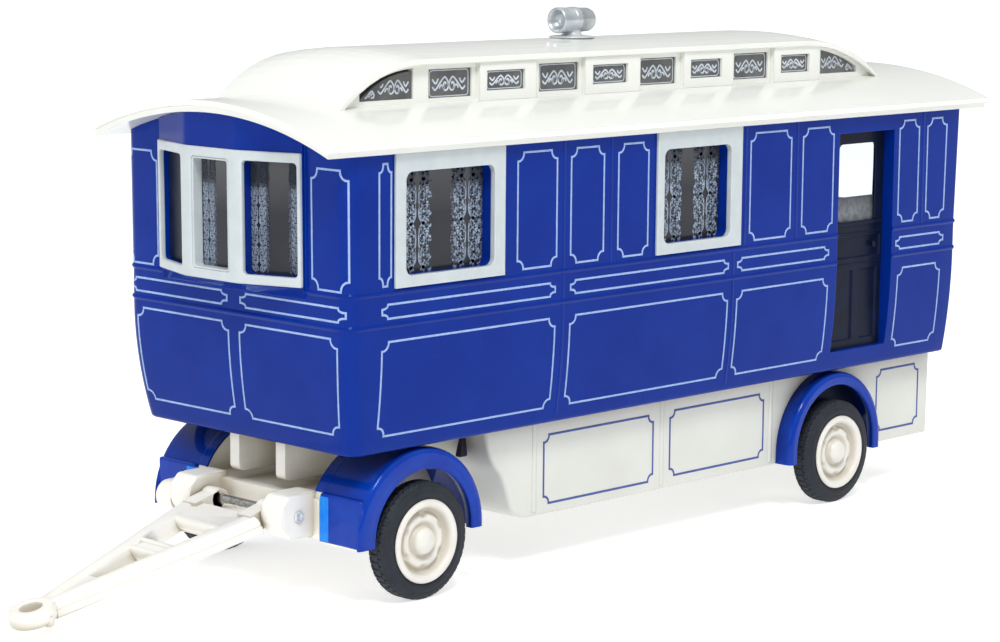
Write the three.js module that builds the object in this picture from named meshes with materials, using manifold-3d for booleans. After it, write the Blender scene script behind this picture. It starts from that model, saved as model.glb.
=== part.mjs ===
// Showman's living wagon, a small collector's model at about 1:50.
// Units are millimetres. +X points forward to the drawbar, +Y to the left side, +Z up.
// Lengths along X are measured from the middle of the body; the last lines move the origin.
import * as THREE from 'three';
import * as BufferGeometryUtils from 'three/addons/utils/BufferGeometryUtils.js';
import Module from 'manifold-3d';

const wasm = await Module();
wasm.setup();

// ---------------------------------------------------------------- driving dimensions
// Clearances
const SEAT_GAP = 0.05;          // gap between faces that are glued together
const RUN_GAP = 0.3;            // gap between pieces that slide past each other
const TURN_GAP = 0.08;          // radial clearance of a pin or axle in its hole
const PRESS_GAP = 0.02;         // radial clearance of a pin that is pressed in
const ROOT = 0.2;               // how far a rib or boss runs into the plate that it grows from
const FAR = 300;                // reach of the blocks that only cut or limit

// Plan of the body
const BODY_FRONT = 70;          // front wall, measured from the middle of the body
const BODY_REAR = -70;          // rear wall
const BODY_HALF = 24;           // half width at and above the waist
const FRONT_CORNER = 2.2;       // radius of the front vertical corners
const REAR_CORNER = 1.2;        // radius of the rear vertical corners
const WALL = 2.2;               // body wall

// Wheels
const WHEEL_RADIUS = 8.5;
const TYRE_WIDTH = 3.5;
const TYRE_OUT = BODY_HALF - 0.9;     // outer face of the tyres
const RIM_RADIUS = WHEEL_RADIUS - 2.45;
const AXLE_RADIUS = 1;
const WHEEL_SIDES = 32;
const FRONT_AXLE = BODY_FRONT - 15.7;
const REAR_AXLE = BODY_REAR + 29.3;

// Mudguards. In each row, shift and openShift are the middles of the arch and of its opening,
// from the axle; gap and head are the room round the wheel, at its ends and over it; end and top
// are the depths of the turned-in lip there; foot is the height of the lower ends.
const GUARD_OUT = BODY_HALF - 1.4;    // outer face
const GUARD_SKIN = 1;
const GUARD_LIP = 1.1;                // thickness of the lip
const GUARD_ROUND = 0.4;              // rounding of its edges
const GUARD_SPRING = WHEEL_RADIUS + 1;  // height of the centre of the arches
const FRONT_GUARD = { shift: 0.2, openShift: -0.3, gap: 0.9, head: 0.7, end: 3.05, top: 3.2, foot: 8.8 };
const REAR_GUARD = { shift: 0, openShift: 0, gap: 1.6, head: 1.6, end: 2.05, top: 2.15, foot: 7.7 };
const guardHalf = (row) => WHEEL_RADIUS + row.gap + row.end;
const guardRise = (row) => WHEEL_RADIUS + row.head + row.top;

// Heights of the body
const BODY_BOTTOM = GUARD_SPRING + guardRise(FRONT_GUARD) + 0.7;  // lower edge of the side walls
const WAIST_LOW = BODY_BOTTOM + 17.2;   // where the lower walls stop curving in
const WAIST_HIGH = BODY_BOTTOM + 22.2;  // upper waist ridge
const SIDE_TUCK = 1.4;          // how far the lower side curves in at its bottom edge
const REAR_TUCK = 0.2;          // the same at the rear, which is nearly upright
const FRONT_TUCK = 1.9;         // the same at the front
const RIDGE = 0.25;             // how far a waist ridge stands proud

// Roof
const ROOF_CROWN = BODY_BOTTOM + 47.86;  // top of the arch at the centre line
const ROOF_HALF = BODY_HALF + 1.5;      // half width over the eaves
const ROOF_RISE = 4.88;         // rise of the arch from the eaves to the crown
const ROOF_RADIUS = (ROOF_HALF ** 2 + ROOF_RISE ** 2) / (2 * ROOF_RISE);
const ROOF_LAYER = 0.85;        // each of the two layers of the eaves
const ROOF_STEP = 0.5;          // how far the lower layer is set back
const ROOF_FRONT = BODY_FRONT + 5.15;
const ROOF_REAR = BODY_REAR - 6.85;

// Clerestory (the raised middle of the roof)
const CLER_BASE = BODY_BOTTOM + 48.3;   // level that its heights are measured from
const CLER_HALF = 12.3;         // outer face of its side walls
const CLER_WALL = 1.1;
const CLER_HOOD = 1.1;          // overhang of its top beyond the walls
const CLER_EDGE = CLER_BASE + 4.9;      // height of the top at its long edges
const CLER_CAMBER = 1.15;       // rise of the top from the edges to the centre
const CLER_SKIN = 0.9;          // thickness of the top
const CLER_LINING = 0.6;        // extra thickness of it between the side walls
const CLER_END = 2.2;           // length of the solid tips at both ends
const CLER_FLAT_FRONT = BODY_FRONT - 24;  // where the level top starts to curve down
const CLER_FLAT_REAR = BODY_REAR + 28;
const CLER_FRONT_RADIUS = 22.5;
const CLER_REAR_RADIUS = 34;
const CLER_FRONT = BODY_FRONT - 7.6;    // where the curved ends meet the roof
const CLER_REAR = BODY_REAR + 7.1;
const LIGHT_PROUD = 0.75;       // how far a proud light's frame stands out
const LIGHT_LOW = CLER_BASE - 0.9;
const LIGHT_HIGH = CLER_BASE + 3.25;
const PROUD_LOW = CLER_BASE - 0.2;
const PROUD_HIGH = CLER_BASE + 2.7;

// Chimney, a short pipe lying along the roof
const COWL_RADIUS = 1.9;
const COWL_HALF = 3.65;         // half length
const COWL_LIFT = 2.8;          // its axis above the roof
const COWL_X = 0.4;
const COWL_WALL = 0.35;
const COWL_STRAP = { half: 0.55, proud: 0.18 };     // band round its middle
const NECK_RADIUS = 1.5;
const NECK_SINK = 0.6;          // how far the neck runs up into the pipe
const FLANGE = { low: 3.6, high: 3.2, thick: 0.5 }; // radii at its bottom and top, and thickness

// Windows and doors
const SILL = BODY_BOTTOM + 24.3;        // bottom of every window opening
const HEAD = BODY_BOTTOM + 38.7;        // top of every window opening
const FRAME_LOW = BODY_BOTTOM + 22.75;  // bottom of the painted frames
const FRAME_HIGH = BODY_BOTTOM + 41.3;  // top of the frames, under the eaves
const FRAME_PROUD = 0.4;        // how far a frame stands out of the wall
const FRAME_DEEP = 0.5;         // how far it is let into the wall
const PANE = 0.7;               // glazing thickness
const PANE_LAP = 1.6;           // how far it laps behind the wall, at the sides and the bottom
const PANE_LAP_HIGH = 1;        // the same at the top
const BAY_PANE_LAP = 0.7;       // the same above and below the bay's lights
const OPEN_RADIUS = 1.2;        // corners of the window openings
const CORNER_STEPS = 5;         // segments in each rounded corner
const DOOR_FRONT = -37.7;       // doorway in both side walls
const DOOR_REAR = -52.2;
const DOOR_SILL = BODY_BOTTOM + 2.8;
const DOOR_PANEL = 1.2;         // door thickness
const DOOR_LAP = 0.9;           // how far the door laps behind the wall
const DOOR_DROP = 0.36;         // how far it laps below the doorway
const DOOR_LIGHT_HALF = 4.8;    // half width of the window in the door
const DOOR_LIGHT_LOW = SILL - 0.5;
const DOOR_LIGHT_HIGH = HEAD - 2.1;

// Window openings of a side wall: front and rear edge of the opening, and of its frame.
const SIDE_WINDOWS = [
  { open: [BODY_FRONT - 27.8, BODY_FRONT - 10.4], frame: [BODY_FRONT - 29.9, BODY_FRONT - 8.5] },
  { open: [-10, 5.7], frame: [-12.6, 7.2] },
];
const REAR_WINDOW = { half: 8, frameHalf: 9.9 };

// Front bay: a shallow bow of three facets
const BAY_FRONT = BODY_FRONT + 3.8;     // middle facet
const BAY_SIDE_X = BODY_FRONT + 0.5;    // outer ends of the side facets
const BAY_MIDDLE_HALF = 5.6;
const BAY_HALF = 15.4;
const BAY_BOTTOM = FRAME_LOW - 0.15;
const BAY_MERGE = BAY_BOTTOM - 1.6;     // where the sloped underside meets the wall
const BAY_LIGHT_LOW = SILL - 0.2;
const BAY_LIGHT_HIGH = HEAD + 1.2;
const BAY_LIGHT_RADIUS = 0.6;

// Belly box under the body. Its front wall is swept back in an S to let the bogie turn.
const PLATE_LOW = BODY_BOTTOM;
const PLATE_THICK = 1.4;
const SKIRT_HALF = BODY_HALF - 4.4;
const SKIRT_WALL = 1;
const SKIRT_LOW = 7.5;
const SKIRT_REAR = BODY_REAR;
// Carrier of the rear axle: its two legs start at legs and end at half; down and up are from the axle.
const CARRIER = { length: 6, half: 15, legs: 9, down: 3, up: 6 };
const SWEEP_FRONT = FRONT_AXLE + FRONT_GUARD.shift - guardHalf(FRONT_GUARD) - 2.75;

// Bogie
const BEAM_FRONT = FRONT_AXLE + FRONT_GUARD.shift + guardHalf(FRONT_GUARD) - 0.95;
const BEAM_DEPTH = 2.6;
const BEAM_HALF = 13.6;
const BEAM_LOW = WHEEL_RADIUS + 0.5;
const RIB_LOW = BODY_BOTTOM - 6.4;      // lower edges of the two ribs over the bogie
const RIB_IN = 4;
const RIB_OUT = 6;
const RIB_RADIUS = 0.9;                 // their lower corners
// Reach of the ribs before and behind the kingpin: their front ends stop at the body's wall.
const RIB_RUN = BODY_FRONT - FRONT_TUCK - WALL - RUN_GAP * 0.5 - SEAT_GAP - FRONT_AXLE;
const BEAM_TOP = RIB_LOW - 1.4;
const DECK = 1.6;                       // thickness of the bogie's deck
const BEARING_LOW = WHEEL_RADIUS - 1.2; // the axle clips up into open slots in the bearings
const CHEEK = 1.6;                      // thickness of the plates that close the wheel arches
const TURNTABLE_RADIUS = 4.1;
const KINGPIN_RADIUS = 1.5;
const KINGPIN_HEAD = { proud: 1.1, thick: 1 };
const PIN_COVER = 1;                    // material of the boss above the kingpin's end
const DECK_REACH = 8;                   // deck behind the kingpin
const BEARING = { half: 3, inner: 2.8, outer: 0.2 };  // half length; faces, in from the beam's end
const APRON_TOP = BEAM_TOP + 1;
const APRON_SKIN = 1.4;

// Drawbar and its hinge
const LUG_IN = 7.8;
const LUG_OUT = 12.2;
const LUG_RADIUS = 3.1;
const LUG_SINK = 1.2;                   // how far the lugs run back into the beam
const STUB = { out: 15.6, down: 3, up: 1.4 };   // extra lug on the right side: face, reach about the pin
const PIN_X = BEAM_FRONT + 2.75;
const PIN_Z = BEAM_TOP - 2.3;
const PIN_RADIUS = 0.8;
const KNUCKLE_RADIUS = 1.7;             // round root of the drawbar on its pin
const BAR_LENGTH = 38.05;               // pin to the centre of the towing eye
const BAR_TOP = 1.05;                   // flat top face above the pin's axis
const BAR_THICK = 2.65;
const EYE_THICK = 2.3;
const EYE_RADIUS = 3.3;
const EYE_HOLE = 1.5;
const EYE_LIFT = 0.9;                   // the eye is held this far above the ground
const NUB = { near: -1, far: 0.5, inner: 1.7, outer: 3, deep: 0.45 };   // two feet under the eye

// ---------------------------------------------------------------- finishes
const finish = (color, roughness, metalness = 0) =>
  new THREE.MeshStandardMaterial({ color, roughness, metalness });
const BLUE = finish(0x22379a, 0.3);
const NAVY = finish(0x1c2133, 0.4);
const CREAM = finish(0xf4f4ee, 0.45);
const IVORY = finish(0xe6e4da, 0.5);
const WHITE = finish(0xe4eae8, 0.4);
const SMOKE = finish(0x3b3d42, 0.15);
const CLEAR = finish(0xdfe6ea, 0.1);
const TYRE = finish(0x2b2e35, 0.8);
const STEEL = finish(0xb9bdc2, 0.3, 0.9);
const SILVER = finish(0xa6abaf, 0.35, 0.8);

// ---------------------------------------------------------------- solids
function solid(geometry) {
  const bare = geometry.index ? geometry.toNonIndexed() : geometry.clone();
  for (const name of Object.keys(bare.attributes)) {
    if (name !== 'position') bare.deleteAttribute(name);
  }
  const merged = BufferGeometryUtils.mergeVertices(bare, 1e-4);
  return new wasm.Manifold(new wasm.Mesh({
    numProp: 3,
    vertProperties: new Float32Array(merged.attributes.position.array),
    triVerts: new Uint32Array(merged.index.array),
  }));
}

function geometryOf(manifold) {
  const mesh = manifold.getMesh();
  const geometry = new THREE.BufferGeometry();
  geometry.setAttribute('position', new THREE.BufferAttribute(new Float32Array(mesh.vertProperties), 3));
  geometry.setIndex(new THREE.BufferAttribute(new Uint32Array(mesh.triVerts), 1));
  return geometry;
}

const join = (parts) => parts.reduce((all, next) => all.add(next));
const cut = (body, tools) => tools.reduce((left, tool) => left.subtract(tool), body);

function box(x0, x1, y0, y1, z0, z1) {
  const geometry = new THREE.BoxGeometry(x1 - x0, y1 - y0, z1 - z0);
  geometry.translate((x0 + x1) / 2, (y0 + y1) / 2, (z0 + z1) / 2);
  return solid(geometry);
}

const asShape = (outline) => outline instanceof THREE.Shape
  ? outline : new THREE.Shape(outline.map(([u, v]) => new THREE.Vector2(u, v)));

function extrude(outline, depth, curveSegments = 12) {
  return new THREE.ExtrudeGeometry(asShape(outline), { depth, bevelEnabled: false, curveSegments });
}

// An outline in (x, y), raised from z0 to z1.
function prismZ(outline, z0, z1) {
  return solid(extrude(outline, z1 - z0).translate(0, 0, z0));
}

// An outline in (x, z), running from y0 to y1.
function prismY(outline, y0, y1, curveSegments) {
  return solid(extrude(outline, y1 - y0, curveSegments).rotateX(Math.PI / 2).translate(0, y1, 0));
}

// An outline in (y, z), running from x0 to x1.
function prismX(outline, x0, x1, curveSegments) {
  const turn = new THREE.Matrix4().set(0, 0, 1, 0, 1, 0, 0, 0, 0, 1, 0, 0, 0, 0, 0, 1);
  return solid(extrude(outline, x1 - x0, curveSegments).applyMatrix4(turn).translate(x0, 0, 0));
}

// A round bar across the wagon.
function barY(x, z, radius, y0, y1, sides = 24) {
  const geometry = new THREE.CylinderGeometry(radius, radius, y1 - y0, sides);
  geometry.translate(x, (y0 + y1) / 2, z);
  return solid(geometry);
}

// A round post.
function postZ(x, y, radius, z0, z1, sides = 32, topRadius = radius) {
  const geometry = new THREE.CylinderGeometry(topRadius, radius, z1 - z0, sides);
  geometry.rotateX(Math.PI / 2);
  geometry.translate(x, y, (z0 + z1) / 2);
  return solid(geometry);
}

// A closed profile of [radius, y] turned about the Y axis through (x, z).
function turned(profile, x, z, sides = 40) {
  const points = profile.map(([radius, y]) => new THREE.Vector2(radius, y));
  return solid(new THREE.LatheGeometry(points, sides).translate(x, 0, z));
}

// A rectangle in the outline plane with its own radius at the top and bottom corners.
function roundedRect(u0, u1, v0, v1, lowRadius, highRadius = lowRadius) {
  const shape = new THREE.Shape();
  shape.moveTo(u0 + lowRadius, v0);
  shape.lineTo(u1 - lowRadius, v0);
  shape.absarc(u1 - lowRadius, v0 + lowRadius, lowRadius, -Math.PI / 2, 0, false);
  shape.lineTo(u1, v1 - highRadius);
  shape.absarc(u1 - highRadius, v1 - highRadius, highRadius, 0, Math.PI / 2, false);
  shape.lineTo(u0 + highRadius, v1);
  shape.absarc(u0 + highRadius, v1 - highRadius, highRadius, Math.PI / 2, Math.PI, false);
  shape.lineTo(u0, v0 + lowRadius);
  shape.absarc(u0 + lowRadius, v0 + lowRadius, lowRadius, Math.PI, Math.PI * 1.5, false);
  return shape;
}

// Rings of points, one per height, all with the same count and all convex, joined and capped.
function loft(rings) {
  const count = rings[0].length;
  const positions = [];
  const index = [];
  for (const ring of rings) for (const point of ring) positions.push(...point);
  for (let level = 0; level + 1 < rings.length; level++) {
    for (let k = 0; k < count; k++) {
      const a = level * count + k;
      const b = level * count + (k + 1) % count;
      index.push(a, b, b + count, a, b + count, a + count);
    }
  }
  const top = (rings.length - 1) * count;
  for (let k = 1; k + 1 < count; k++) {
    index.push(0, k + 1, k);
    index.push(top, top + k, top + k + 1);
  }
  const geometry = new THREE.BufferGeometry();
  geometry.setAttribute('position', new THREE.Float32BufferAttribute(positions, 3));
  geometry.setIndex(index);
  return solid(geometry);
}

// ---------------------------------------------------------------- nodes
const wagon = new THREE.Group();

function add(name, manifold, material, parent = wagon) {
  const mesh = new THREE.Mesh(geometryOf(manifold), material);
  mesh.name = name;
  parent.add(mesh);
  return mesh;
}

const SIDES = [
  { name: 'left', sign: 1 },
  { name: 'right', sign: -1 },
];
const mirrorY = (manifold, sign) => (sign > 0 ? manifold : manifold.mirror([0, 1, 0]));

// ---------------------------------------------------------------- body shell
const tuckAt = (z) => Math.max(0, (WAIST_LOW - z) / (WAIST_LOW - BODY_BOTTOM)) ** 2;

// Plan of the body at height z, moved inward by inset; corners are short arcs.
function bodyRing(z, inset) {
  const t = tuckAt(z);
  const front = BODY_FRONT - FRONT_TUCK * t - inset;
  const rear = BODY_REAR + REAR_TUCK * t + inset;
  const half = BODY_HALF - SIDE_TUCK * t - inset;
  const corners = [
    [rear, -half, REAR_CORNER, Math.PI],
    [front, -half, FRONT_CORNER, Math.PI * 1.5],
    [front, half, FRONT_CORNER, 0],
    [rear, half, REAR_CORNER, Math.PI / 2],
  ];
  const steps = 4;
  const ring = [];
  for (const [x, y, radius, start] of corners) {
    const r = Math.max(0.3, radius - inset);
    const cx = x - Math.sign(x) * r;
    const cy = y - Math.sign(y) * r;
    for (let k = 0; k <= steps; k++) {
      const a = start + (Math.PI / 2) * (k / steps);
      ring.push([cx + r * Math.cos(a), cy + r * Math.sin(a), z]);
    }
  }
  return ring;
}

const TUCK_STEPS = 5;
const TUCK_LEVELS = Array.from({ length: TUCK_STEPS + 1 }, (_, k) =>
  BODY_BOTTOM + (WAIST_LOW - BODY_BOTTOM) * (k / TUCK_STEPS));
const bodySolid = (inset, low, high) =>
  loft([...(low < BODY_BOTTOM ? [low] : []), ...TUCK_LEVELS, high].map((z) => bodyRing(z, inset)));

// Solid arch below the roof: everything under radius r about the roof's centre.
function underArch(radius, x0, x1) {
  const centre = ROOF_CROWN - ROOF_RADIUS;
  const half = ROOF_HALF + 4.5;
  const sweep = Math.asin(half / radius);
  const shape = new THREE.Shape();
  shape.moveTo(-half, 0);
  shape.lineTo(half, 0);
  shape.lineTo(half, centre + radius * Math.cos(sweep));
  shape.absarc(0, centre, radius, Math.PI / 2 - sweep, Math.PI / 2 + sweep, false);
  shape.lineTo(-half, 0);
  return prismX(shape, x0, x1, 40);
}

// Plan outline of the front bay, moved inward by d and carried back to x = back.
const BAY_BACK = BODY_FRONT - 10;

function bayOutline(d, back, half = BAY_HALF - d) {
  const run = BAY_HALF - BAY_MIDDLE_HALF;
  const fall = BAY_FRONT - BAY_SIDE_X;
  const slope = fall / run;
  const across = d * Math.hypot(fall, run) / run;
  const middle = BAY_MIDDLE_HALF + (d - across) / slope;
  const x = BAY_FRONT - d;
  const side = BAY_SIDE_X - across + slope * (BAY_HALF - half);
  return [
    [back, -half], [side, -half], [x, -middle], [x, middle], [side, half], [back, half],
  ];
}

// The three lights of the bay, as round-cornered blocks that cut through its facets.
const BAY_LIGHT_HALF = BAY_MIDDLE_HALF - 1.6;
const BAY_STILE = [0.95, 0.75];         // widths of the outer lights' inner and outer stiles

function bayLights() {
  const facet = new THREE.Vector3(BAY_SIDE_X - BAY_FRONT, BAY_HALF - BAY_MIDDLE_HALF, 0);
  const length = facet.length();
  facet.normalize();
  const up = new THREE.Vector3(0, 0, 1);
  const normal = new THREE.Vector3().crossVectors(facet, up);
  const behind = 3.4;
  const place = new THREE.Matrix4().makeBasis(facet, up, normal).setPosition(
    BAY_FRONT - normal.x * behind, BAY_MIDDLE_HALF - normal.y * behind, 0);
  const outline = roundedRect(BAY_STILE[0], length - BAY_STILE[1], BAY_LIGHT_LOW, BAY_LIGHT_HIGH,
    BAY_LIGHT_RADIUS);
  const sideLight = solid(extrude(outline, behind + 1.4, CORNER_STEPS).applyMatrix4(place));
  return [
    prismX(roundedRect(-BAY_LIGHT_HALF, BAY_LIGHT_HALF, BAY_LIGHT_LOW, BAY_LIGHT_HIGH, BAY_LIGHT_RADIUS),
      BAY_FRONT - 4, BAY_FRONT + 2, CORNER_STEPS),
    sideLight,
    sideLight.mirror([0, 1, 0]),
  ];
}

function bodyShell() {
  const high = ROOF_CROWN + 2;
  let shell = bodySolid(0, BODY_BOTTOM, high);
  const ridge = (z) => loft([
    [z - 0.45, 0], [z - 0.15, RIDGE], [z + 0.15, RIDGE], [z + 0.45, 0],
  ].map(([level, out]) => bodyRing(Math.max(level, WAIST_LOW), -out - 0.01)));
  shell = join([shell, ridge(WAIST_LOW + 0.5), ridge(WAIST_HIGH)]);
  const bay = prismZ(bayOutline(0, BAY_BACK), BAY_BOTTOM, high);
  const underside = loft([BAY_MERGE, BAY_BOTTOM].map((z) => bayOutline(0, BAY_BACK).map(([x, y]) => [
    z < BAY_BOTTOM ? Math.min(x, BODY_FRONT - 0.01) : x, y, z])));
  shell = join([shell, bay, underside]);
  shell = shell.subtract(bodySolid(WALL, BODY_BOTTOM - 2, high + 1));
  shell = shell.subtract(prismZ(bayOutline(WALL, BAY_BACK), BAY_BOTTOM + 0.6, high + 1));
  shell = shell.intersect(underArch(ROOF_RADIUS - 2 * ROOF_LAYER - SEAT_GAP, -FAR, FAR));
  const cuts = [];
  for (const { sign } of SIDES) {
    const y0 = sign > 0 ? BODY_HALF - WALL - 1 : -BODY_HALF - 1;
    const y1 = sign > 0 ? BODY_HALF + 1 : -BODY_HALF + WALL + 1;
    for (const { open, frame } of SIDE_WINDOWS) {
      cuts.push(prismY(roundedRect(open[0], open[1], SILL, HEAD, OPEN_RADIUS), y0, y1, CORNER_STEPS));
      const pocket = sign > 0 ? [BODY_HALF - FRAME_DEEP - SEAT_GAP, BODY_HALF + 1]
        : [-BODY_HALF - 1, -BODY_HALF + FRAME_DEEP + SEAT_GAP];
      cuts.push(box(frame[0] - SEAT_GAP, frame[1] + SEAT_GAP, ...pocket,
        FRAME_LOW - SEAT_GAP, FRAME_HIGH + 3));
    }
    cuts.push(box(DOOR_REAR, DOOR_FRONT, y0, y1, DOOR_SILL, HEAD));
    const rebate = sign > 0 ? [BODY_HALF - WALL - 3, BODY_HALF - WALL]
      : [-BODY_HALF + WALL, -BODY_HALF + WALL + 3];
    cuts.push(box(DOOR_REAR - DOOR_LAP - SEAT_GAP, DOOR_FRONT + DOOR_LAP + SEAT_GAP, ...rebate,
      DOOR_SILL - DOOR_DROP - SEAT_GAP, HEAD + DOOR_LAP + SEAT_GAP));
  }
  cuts.push(prismX(roundedRect(-REAR_WINDOW.half, REAR_WINDOW.half, SILL, HEAD, OPEN_RADIUS),
    BODY_REAR - 1, BODY_REAR + WALL + 1, CORNER_STEPS));
  cuts.push(box(BODY_REAR - 1, BODY_REAR + FRAME_DEEP + SEAT_GAP, -REAR_WINDOW.frameHalf - SEAT_GAP,
    REAR_WINDOW.frameHalf + SEAT_GAP, FRAME_LOW - SEAT_GAP, FRAME_HIGH + SEAT_GAP));
  const recess = prismZ(bayOutline(-3, BODY_FRONT - 1, BAY_HALF + 1.6), FRAME_LOW - SEAT_GAP,
    FRAME_HIGH + SEAT_GAP);
  const behind = prismZ(bayOutline(FRAME_DEEP + SEAT_GAP, BAY_BACK, BODY_HALF),
    FRAME_LOW - 1, FRAME_HIGH + 3);
  const between = box(BAY_BACK, FAR, -BAY_HALF - 0.01, BAY_HALF + 0.01, 0, FAR);
  cuts.push(recess.subtract(behind).intersect(between));
  cuts.push(...bayLights());
  return cut(shell, cuts);
}

// ---------------------------------------------------------------- window frames and glazing
function sideFrame({ open, frame }) {
  const plate = box(frame[0], frame[1], BODY_HALF - FRAME_DEEP, BODY_HALF + FRAME_PROUD,
    FRAME_LOW, FRAME_HIGH);
  return plate.subtract(prismY(roundedRect(open[0], open[1], SILL, HEAD, OPEN_RADIUS),
    BODY_HALF - 2, BODY_HALF + 2, CORNER_STEPS));
}

function rearFrame() {
  const { half, frameHalf } = REAR_WINDOW;
  const plate = box(BODY_REAR - FRAME_PROUD, BODY_REAR + FRAME_DEEP, -frameHalf, frameHalf,
    FRAME_LOW, FRAME_HIGH);
  return plate.subtract(prismX(roundedRect(-half, half, SILL, HEAD, OPEN_RADIUS),
    BODY_REAR - 2, BODY_REAR + 2, CORNER_STEPS));
}

function frontFrame() {
  const band = prismZ(bayOutline(-FRAME_PROUD, BODY_FRONT - 1, BAY_HALF - SEAT_GAP),
    FRAME_LOW, FRAME_HIGH);
  const behind = prismZ(bayOutline(FRAME_DEEP, BAY_BACK, BODY_HALF), FRAME_LOW - 1, FRAME_HIGH + 2);
  return cut(band, [behind, ...bayLights()]);
}

const SHEET = WALL + SEAT_GAP;  // outer face of what is glued behind the wall

function sideGlazing() {
  const front = SIDE_WINDOWS[0].open[1] + PANE_LAP;
  const rear = SIDE_WINDOWS[1].open[0] - PANE_LAP;
  return box(rear, front, BODY_HALF - SHEET - PANE, BODY_HALF - SHEET, SILL - PANE_LAP, HEAD + PANE_LAP_HIGH);
}

function rearGlazing() {
  const half = REAR_WINDOW.half + PANE_LAP;
  const x = BODY_REAR + SHEET;
  return box(x, x + PANE, -half, half, SILL - PANE_LAP, HEAD + PANE_LAP_HIGH);
}

function frontGlazing() {
  const low = BAY_LIGHT_LOW - BAY_PANE_LAP;
  const high = BAY_LIGHT_HIGH + BAY_PANE_LAP;
  return prismZ(bayOutline(SHEET, BODY_FRONT - WALL - 0.2, BAY_HALF - SHEET), low, high)
    .subtract(prismZ(bayOutline(SHEET + PANE, BAY_BACK, BAY_HALF - SHEET + 1), low - 1, high + 1));
}

function door() {
  const outer = BODY_HALF - SHEET;
  const middle = (DOOR_FRONT + DOOR_REAR) / 2;
  const panel = box(DOOR_REAR - DOOR_LAP, DOOR_FRONT + DOOR_LAP, outer - DOOR_PANEL, outer,
    DOOR_SILL - DOOR_DROP, HEAD + DOOR_LAP);
  const light = prismY(roundedRect(middle - DOOR_LIGHT_HALF, middle + DOOR_LIGHT_HALF,
    DOOR_LIGHT_LOW, DOOR_LIGHT_HIGH, 0.5, 1.5), outer - 4, outer + 2, CORNER_STEPS);
  return panel.subtract(light);
}

// ---------------------------------------------------------------- roof
const clerProfile = (x) => {
  const drop = (radius, run) => radius - Math.sqrt(Math.max(0, radius ** 2 - run ** 2));
  if (x > CLER_FLAT_FRONT) return CLER_EDGE - drop(CLER_FRONT_RADIUS, x - CLER_FLAT_FRONT);
  if (x < CLER_FLAT_REAR) return CLER_EDGE - drop(CLER_REAR_RADIUS, CLER_FLAT_REAR - x);
  return CLER_EDGE;
};

function clerStations() {
  const steps = 8;
  const list = [];
  for (const [from, to] of [[CLER_REAR, CLER_FLAT_REAR], [CLER_FLAT_FRONT, CLER_FRONT]]) {
    for (let k = 0; k <= steps; k++) list.push(from + (to - from) * (k / steps));
  }
  return list;
}

// The curved slab between two offsets below the clerestory's top, from -half to +half.
function clerSlab(top, bottom, half) {
  const xs = clerStations();
  const count = 8;
  const grid = [];
  const camber = (y) => CLER_CAMBER * (1 - (y / (CLER_HALF + CLER_HOOD)) ** 2);
  for (const off of [top, bottom]) {
    for (const x of xs) {
      for (let j = 0; j <= count; j++) {
        const y = -half + (2 * half * j) / count;
        grid.push([x, y, clerProfile(x) + camber(y) - off]);
      }
    }
  }
  const row = count + 1;
  const layer = xs.length * row;
  const index = [];
  const quad = (a, b, c, d) => index.push(a, b, c, a, c, d);
  for (let i = 0; i + 1 < xs.length; i++) {
    for (let j = 0; j < count; j++) {
      const a = i * row + j;
      quad(a, a + row, a + row + 1, a + 1);
      quad(layer + a, layer + a + 1, layer + a + row + 1, layer + a + row);
    }
    const lo = i * row;
    const hi = lo + count;
    quad(lo, layer + lo, layer + lo + row, lo + row);
    quad(hi, hi + row, layer + hi + row, layer + hi);
  }
  for (let j = 0; j < count; j++) {
    const first = j;
    const last = (xs.length - 1) * row + j;
    quad(first, first + 1, layer + first + 1, layer + first);
    quad(last, layer + last, layer + last + 1, last + 1);
  }
  const geometry = new THREE.BufferGeometry();
  geometry.setAttribute('position', new THREE.Float32BufferAttribute(grid.flat(), 3));
  geometry.setIndex(index);
  return solid(geometry);
}

// Lights of the clerestory, rear to front; proud ones have a frame box of their own.
const LIGHTS = [
  { x: [-43.2, -35.8], frame: [-46, -34] },
  { x: [-33.2, -24.5] },
  { x: [-20.8, -13.2], frame: [-23.7, -11.5] },
  { x: [-10.4, -1.8] },
  { x: [1.7, 9.6], frame: [-1.2, 11.3] },
  { x: [12.1, 20.7] },
  { x: [24.5, 32.5], frame: [22, 34] },
  { x: [35, 43.7] },
];
const END_LIGHTS = [
  { x: [CLER_FLAT_FRONT + 0.8, CLER_FLAT_FRONT + 11.2] },
  { x: [CLER_FLAT_REAR - 5.1, CLER_FLAT_REAR - 14.8] },
];

// The curved lights at the ends follow the top, a fixed step below it.
function endLightOutline([near, far]) {
  const steps = 6;
  const step = 1.35;
  const low = LIGHT_LOW + 0.1;
  const points = [[near, low]];
  for (let k = 0; k <= steps; k++) {
    const x = near + (far - near) * (k / steps);
    points.push([x, Math.max(low, clerProfile(x) - step)]);
  }
  return points.filter(([, z], k) => k === 0 || z > low + 0.01).concat([[far, low]]);
}

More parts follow.
